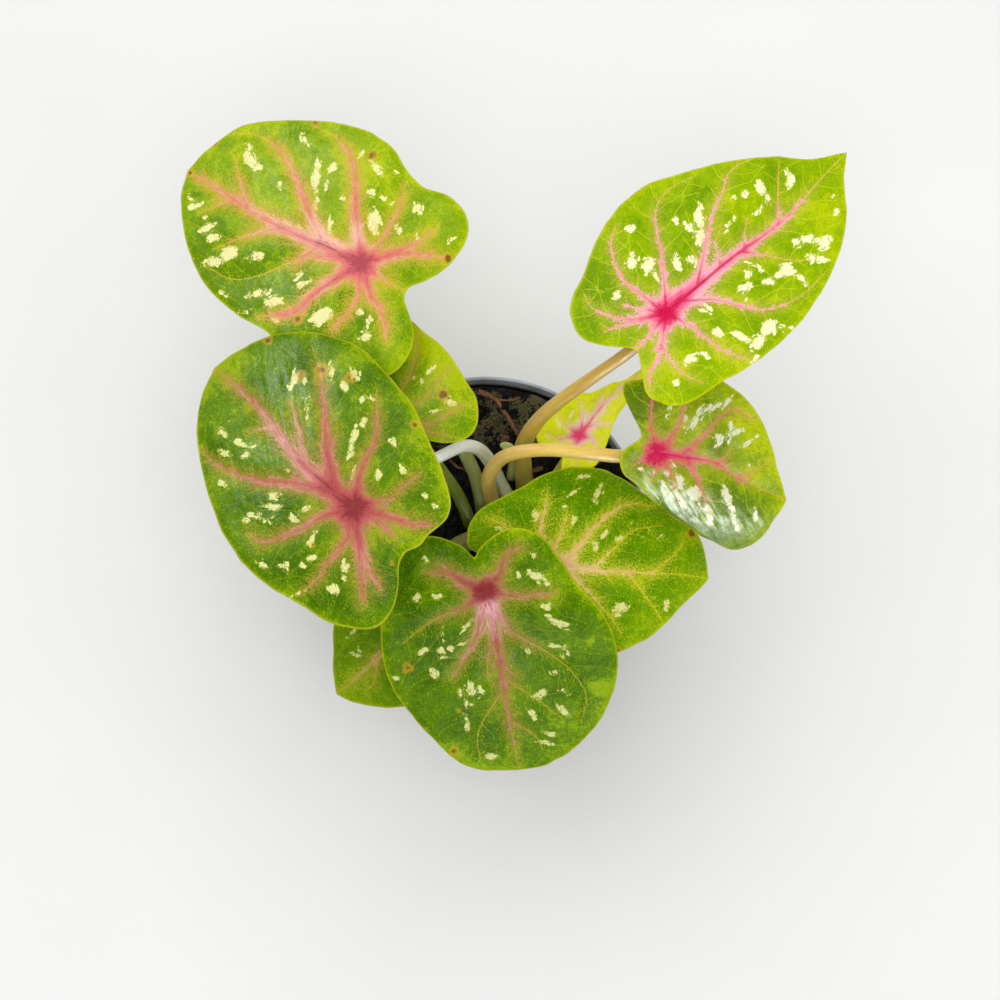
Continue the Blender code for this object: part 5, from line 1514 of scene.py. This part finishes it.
def pot_material(look):
    """The pot's moulded plastic: dark blue grey, clouded, scuffed round, with dried dust low and at the soil's
    edge, and a painted highlight along the top of its lip."""
    made, n = new_material("pot_plastic", look.gloss)
    place = n.millimetres()
    height = n.part(place, "Z")
    amount = n.band(height, 16.0, 0.0, 0.15, 0.75) + n.band(height, 47.0, 50.5, 0.0, 0.15)
    marks = n.group(dust_and_scuffs, Vector=place, Amount=amount)
    cloud = n.noise(place, 0.35, 4.0, 0.6)
    colour = n.blend(n.band(cloud, 0.3, 0.7), dimmed(look.plastic, 0.75), dimmed(look.plastic, 1.35))
    colour = n.blend(marks["Scuffs"] * 0.25, colour, screen(SCUFF))
    level = n.stretched(place, (1.0, 1.0, 0.0))
    away = n.add("VectorMath", {0: level}, "Value", operation="LENGTH")
    # A painted highlight: the top of the lip turns pale blue grey, broken by the cloud.
    highlit = n.band(away, 29.65, 30.15, 0.2, 1.0) * n.band(cloud, 0.3, 0.6, 0.7, 1.0)
    colour = n.blend(highlit * n.band(height, 50.6, 51.4), colour, look.lip)
    rough = marks["Dust"] * 0.4 + n.band(cloud, 0.3, 0.7, look.gloss - 0.04, look.gloss + 0.1)
    n.shade(Base_Color=n.blend(marks["Dust"] * 0.6, colour, look.dust), Roughness=rough)
    n.relief(marks["Scuffs"] * -0.4 + n.noise(place, 5.0, 2.0), 0.25, 0.00006)
    return made


def soil_material(look):
    """Soil and crumbs: dark and damp in the hollows, drier on top, with pale grains and a tinge of moss."""
    made, n = new_material("soil_grain", 0.9, 0.3)
    grain = n.group(earthy_grain, Vector=n.millimetres(), Scale=1.1)
    shade = n.field("shade")
    colour = n.blend(n.band(shade * 0.35 + grain["Value"], 0.15, 1.15), look.dark, look.light)
    colour = n.blend(grain["Specks"] * 0.3, colour, screen(SOIL_SPECK))
    colour = n.blend(n.band(shade, 0.955, 0.965, 0.0, 0.85), colour, screen(PALE_CRUMB))
    mossy = grain["Value"] * 0.5 + n.field("moss")
    n.shade(Base_Color=n.blend(n.band(mossy, 0.1, 0.6, 0.0, 0.75), colour, dimmed(look.moss, 0.6)),
            Roughness=n.band(grain["Value"], 0.0, 1.0, 0.7, 0.95))
    n.relief(grain["Height"], 0.8, 0.0003)
    return made


def moss_material(look):
    """Moss: dark at the foot of each leaflet, yellow green at its tip."""
    made, n = new_material("moss_leaflets", 0.65, 0.3)
    shade = n.band(n.field("shade") * 0.25 + n.field("tip"), -0.1, 1.1)
    patch = n.band(n.noise(n.millimetres(), 0.4), 0.5, 0.7, 0.0, 0.5)
    n.shade(Base_Color=n.blend(patch, n.blend(shade, dimmed(look.moss, 0.22), look.moss),
                               screen(MOSS_PATCH)))
    return made


def twig_material(look):
    """Twigs and roots: reddish brown with lengthwise cracks."""
    made, n = new_material("twig_skin", 0.7, 0.3)
    streaks = n.group(lengthwise_streaks, Vector=n.field("skin", "Vector"), Stretch=0.25)
    colour = n.blend(streaks["Broad"], look.twig, dimmed(look.twig, 0.45))
    n.shade(Base_Color=n.blend(streaks["Thin"] * 0.5, colour, screen(TWIG_STREAK)))
    n.relief(streaks["Thin"], 0.6, 0.0001)
    return made


def bark_material(look):
    """Chips of bark: pinkish tan and brown, by chip, with a fibrous grain."""
    made, n = new_material("bark_grain", 0.8, 0.3)
    grain = n.group(earthy_grain, Vector=n.stretched(n.millimetres(), (0.5, 1.4, 1.0)), Scale=1.8)
    shade = n.band(n.field("shade") * 0.4 + grain["Value"], -0.2, 1.2)
    n.shade(Base_Color=n.blend(shade, dimmed(look.bark, 0.3), look.bark))
    n.relief(grain["Height"], 0.7, 0.0002)
    return made


def tuber_material(look):
    """The tuber's skin: brown and corky, darker round its rings of scars."""
    made, n = new_material("tuber_cork", 0.85, 0.3)
    place = n.millimetres()
    grain = n.group(earthy_grain, Vector=place, Scale=0.8)
    rings = n.band(n.noise(n.stretched(place, (0.1, 0.1, 1.6)), 1.0), 0.52, 0.62, 0.0, 0.6)
    colour = n.blend(grain["Value"], dimmed(look.tuber, 0.4), look.tuber)
    n.shade(Base_Color=n.blend(rings, colour, dimmed(look.tuber, 0.3)))
    n.relief(grain["Height"], 0.7, 0.0004)
    return made


def floor_material(look):
    """The floor: a plain pale matt board with the faintest cloud."""
    made, n = new_material("floor_board", 0.95, 0.0)
    cloud = n.band(n.noise(n.millimetres(), 0.01), 0.3, 0.7)
    n.shade(Base_Color=n.blend(cloud, dimmed(look.floor, 0.97), look.floor))
    return made


# Operators

class CALADIUM_OT_leaves(Operator):
    """Builds the nine leaf blades with their veins and blotches"""
    bl_idname = "caladium.leaves"
    bl_label = "Leaf Blades"

    def execute(self, context):
        look = context.scene.caladium.leaves
        for name in LEAVES:
            build_leaf(name, look, leaf_material(name, look))
        return {"FINISHED"}


class CALADIUM_OT_stalks(Operator):
    """Builds the nine stalks and the sheath of the next shoot"""
    bl_idname = "caladium.stalks"
    bl_label = "Stalks"

    def execute(self, context):
        look = context.scene.caladium.stalks
        for name in STALKS:
            build_stalk(name, look, stalk_material(name, look))
        return {"FINISHED"}


class CALADIUM_OT_tuber(Operator):
    """Builds the tuber inside the soil"""
    bl_idname = "caladium.tuber"
    bl_label = "Tuber"

    def execute(self, context):
        build_tuber(tuber_material(context.scene.caladium.soil))
        return {"FINISHED"}


class CALADIUM_OT_pot(Operator):
    """Builds the pot with its rolled rim and drain holes"""
    bl_idname = "caladium.pot"
    bl_label = "Pot"

    def execute(self, context):
        build_pot(pot_material(context.scene.caladium.pot))
        return {"FINISHED"}


class CALADIUM_OT_soil(Operator):
    """Builds the soil and strews crumbs over it"""
    bl_idname = "caladium.soil"
    bl_label = "Soil"

    def execute(self, context):
        look = context.scene.caladium.soil
        material = soil_material(look)
        build_soil(material)
        build_crumbs(look, material)
        return {"FINISHED"}


class CALADIUM_OT_litter(Operator):
    """Builds the moss, the twigs and the chips of bark that lie on the soil"""
    bl_idname = "caladium.litter"
    bl_label = "Moss and Litter"

    def execute(self, context):
        look = context.scene.caladium.soil
        build_moss(moss_material(look))
        build_twigs(twig_material(look))
        build_bark(bark_material(look))
        return {"FINISHED"}


def soft_light(name, azimuth, elevation, away, width, height, power, gleams):
    """A soft rectangular light that shines on the plant from an azimuth, in degrees from +Y toward +X, an
    elevation and a distance in metres. One that gleams is only mirrored, the others only lighten."""
    side, up = math.radians(azimuth), math.radians(elevation)
    ahead = Vector((math.sin(side) * math.cos(up), math.cos(side) * math.cos(up), math.sin(up)))
    lamp = bpy.data.lights.new(name, "AREA")
    lamp.shape = "RECTANGLE"
    lamp.size = width
    lamp.size_y = height
    lamp.energy = power
    made = placed(name, lamp)
    made.location = Vector((0.0, 0.0, 0.08)) + away * ahead
    made.rotation_euler = (-ahead).to_track_quat("-Z", "Y").to_euler()
    made.visible_glossy = gleams
    made.visible_diffuse = not gleams


class CALADIUM_OT_stage(Operator):
    """Builds the floor, the lights and the camera"""
    bl_idname = "caladium.stage"
    bl_label = "Stage"

    def execute(self, context):
        look = context.scene.caladium.stage
        floor = around(FLOOR_RADIUS, 0.0, round_turns(FLOOR_SIDES))
        mesh_object("floor", floor, [np.arange(FLOOR_SIDES)[None]], floor_material(look))

        scene = bpy.context.scene
        world = bpy.data.worlds.new("soft_sky")
        world.use_nodes = True
        sky = world.node_tree.nodes["Background"].inputs
        sky["Color"].default_value = (1.0, 1.0, 1.0, 1.0)
        sky["Strength"].default_value = look.sky
        world.cycles_visibility.glossy = False
        scene.world = world
        scene.view_settings.view_transform = "Standard"
        key = look.key
        soft_light("key", -30, 62, 1.0, 0.9, 0.9, key, False)
        soft_light("front", 180, 74, 1.1, 0.5, 0.5, 0.7 * key, False)
        soft_light("fill", 118, 45, 1.0, 0.6, 0.6, 0.35 * key, False)
        soft_light("gleam_above", 0, 80, 1.6, 2.4, 2.4, 18.0 * look.gleam, True)
        soft_light("gleam_left", -48, 34, 0.8, 0.46, 0.34, 0.8 * key, True)
        soft_light("gleam_front", 166, 9, 0.8, 0.6, 0.4, 2.6 * key, True)

        lens = bpy.data.cameras.new("photo_camera")
        lens.sensor_width = SENSOR_WIDTH
        lens.lens = FOCAL_LENGTH_IN_PIXELS / PICTURE_SIDE * SENSOR_WIDTH
        camera = placed("photo_camera", lens)
        up = math.radians(CAMERA_ELEVATION)
        back = Vector((0.0, -math.cos(up), math.sin(up)))
        camera.location = Vector(CAMERA_TARGET) + CAMERA_DISTANCE * back
        camera.rotation_euler = (math.pi / 2 - up, 0.0, 0.0)
        scene.camera = camera
        return {"FINISHED"}


STEPS = (CALADIUM_OT_pot, CALADIUM_OT_soil, CALADIUM_OT_litter, CALADIUM_OT_tuber, CALADIUM_OT_stalks,
         CALADIUM_OT_leaves, CALADIUM_OT_stage)


class CALADIUM_PT_panel(Panel):
    """Lists the plant's pieces and their settings"""
    bl_idname = "CALADIUM_PT_panel"
    bl_label = "Potted Caladium"
    bl_space_type = "VIEW_3D"
    bl_region_type = "UI"
    bl_category = "Caladium"

    def draw(self, context):
        column = self.layout.column(align=True)
        for step in STEPS:
            column.operator(step.bl_idname)
        for title in ("leaves", "stalks", "pot", "soil", "stage"):
            group = getattr(context.scene.caladium, title)
            box = self.layout.box()
            box.label(text=title.capitalize())
            for key in group.__annotations__:
                box.prop(group, key)


CLASSES = (CaladiumLeafSettings, CaladiumStalkSettings, CaladiumPotSettings, CaladiumSoilSettings,
           CaladiumStageSettings, CaladiumSettings) + STEPS + (CALADIUM_PT_panel,)


def register():
    for kind in CLASSES:
        bpy.utils.register_class(kind)
    bpy.types.Scene.caladium = PointerProperty(type=CaladiumSettings)


def unregister():
    del bpy.types.Scene.caladium
    for kind in reversed(CLASSES):
        bpy.utils.unregister_class(kind)


def main():
    register()
    for step in STEPS:
        getattr(bpy.ops.caladium, step.bl_idname.split(".")[1])()


if __name__ == "__main__":
    main()
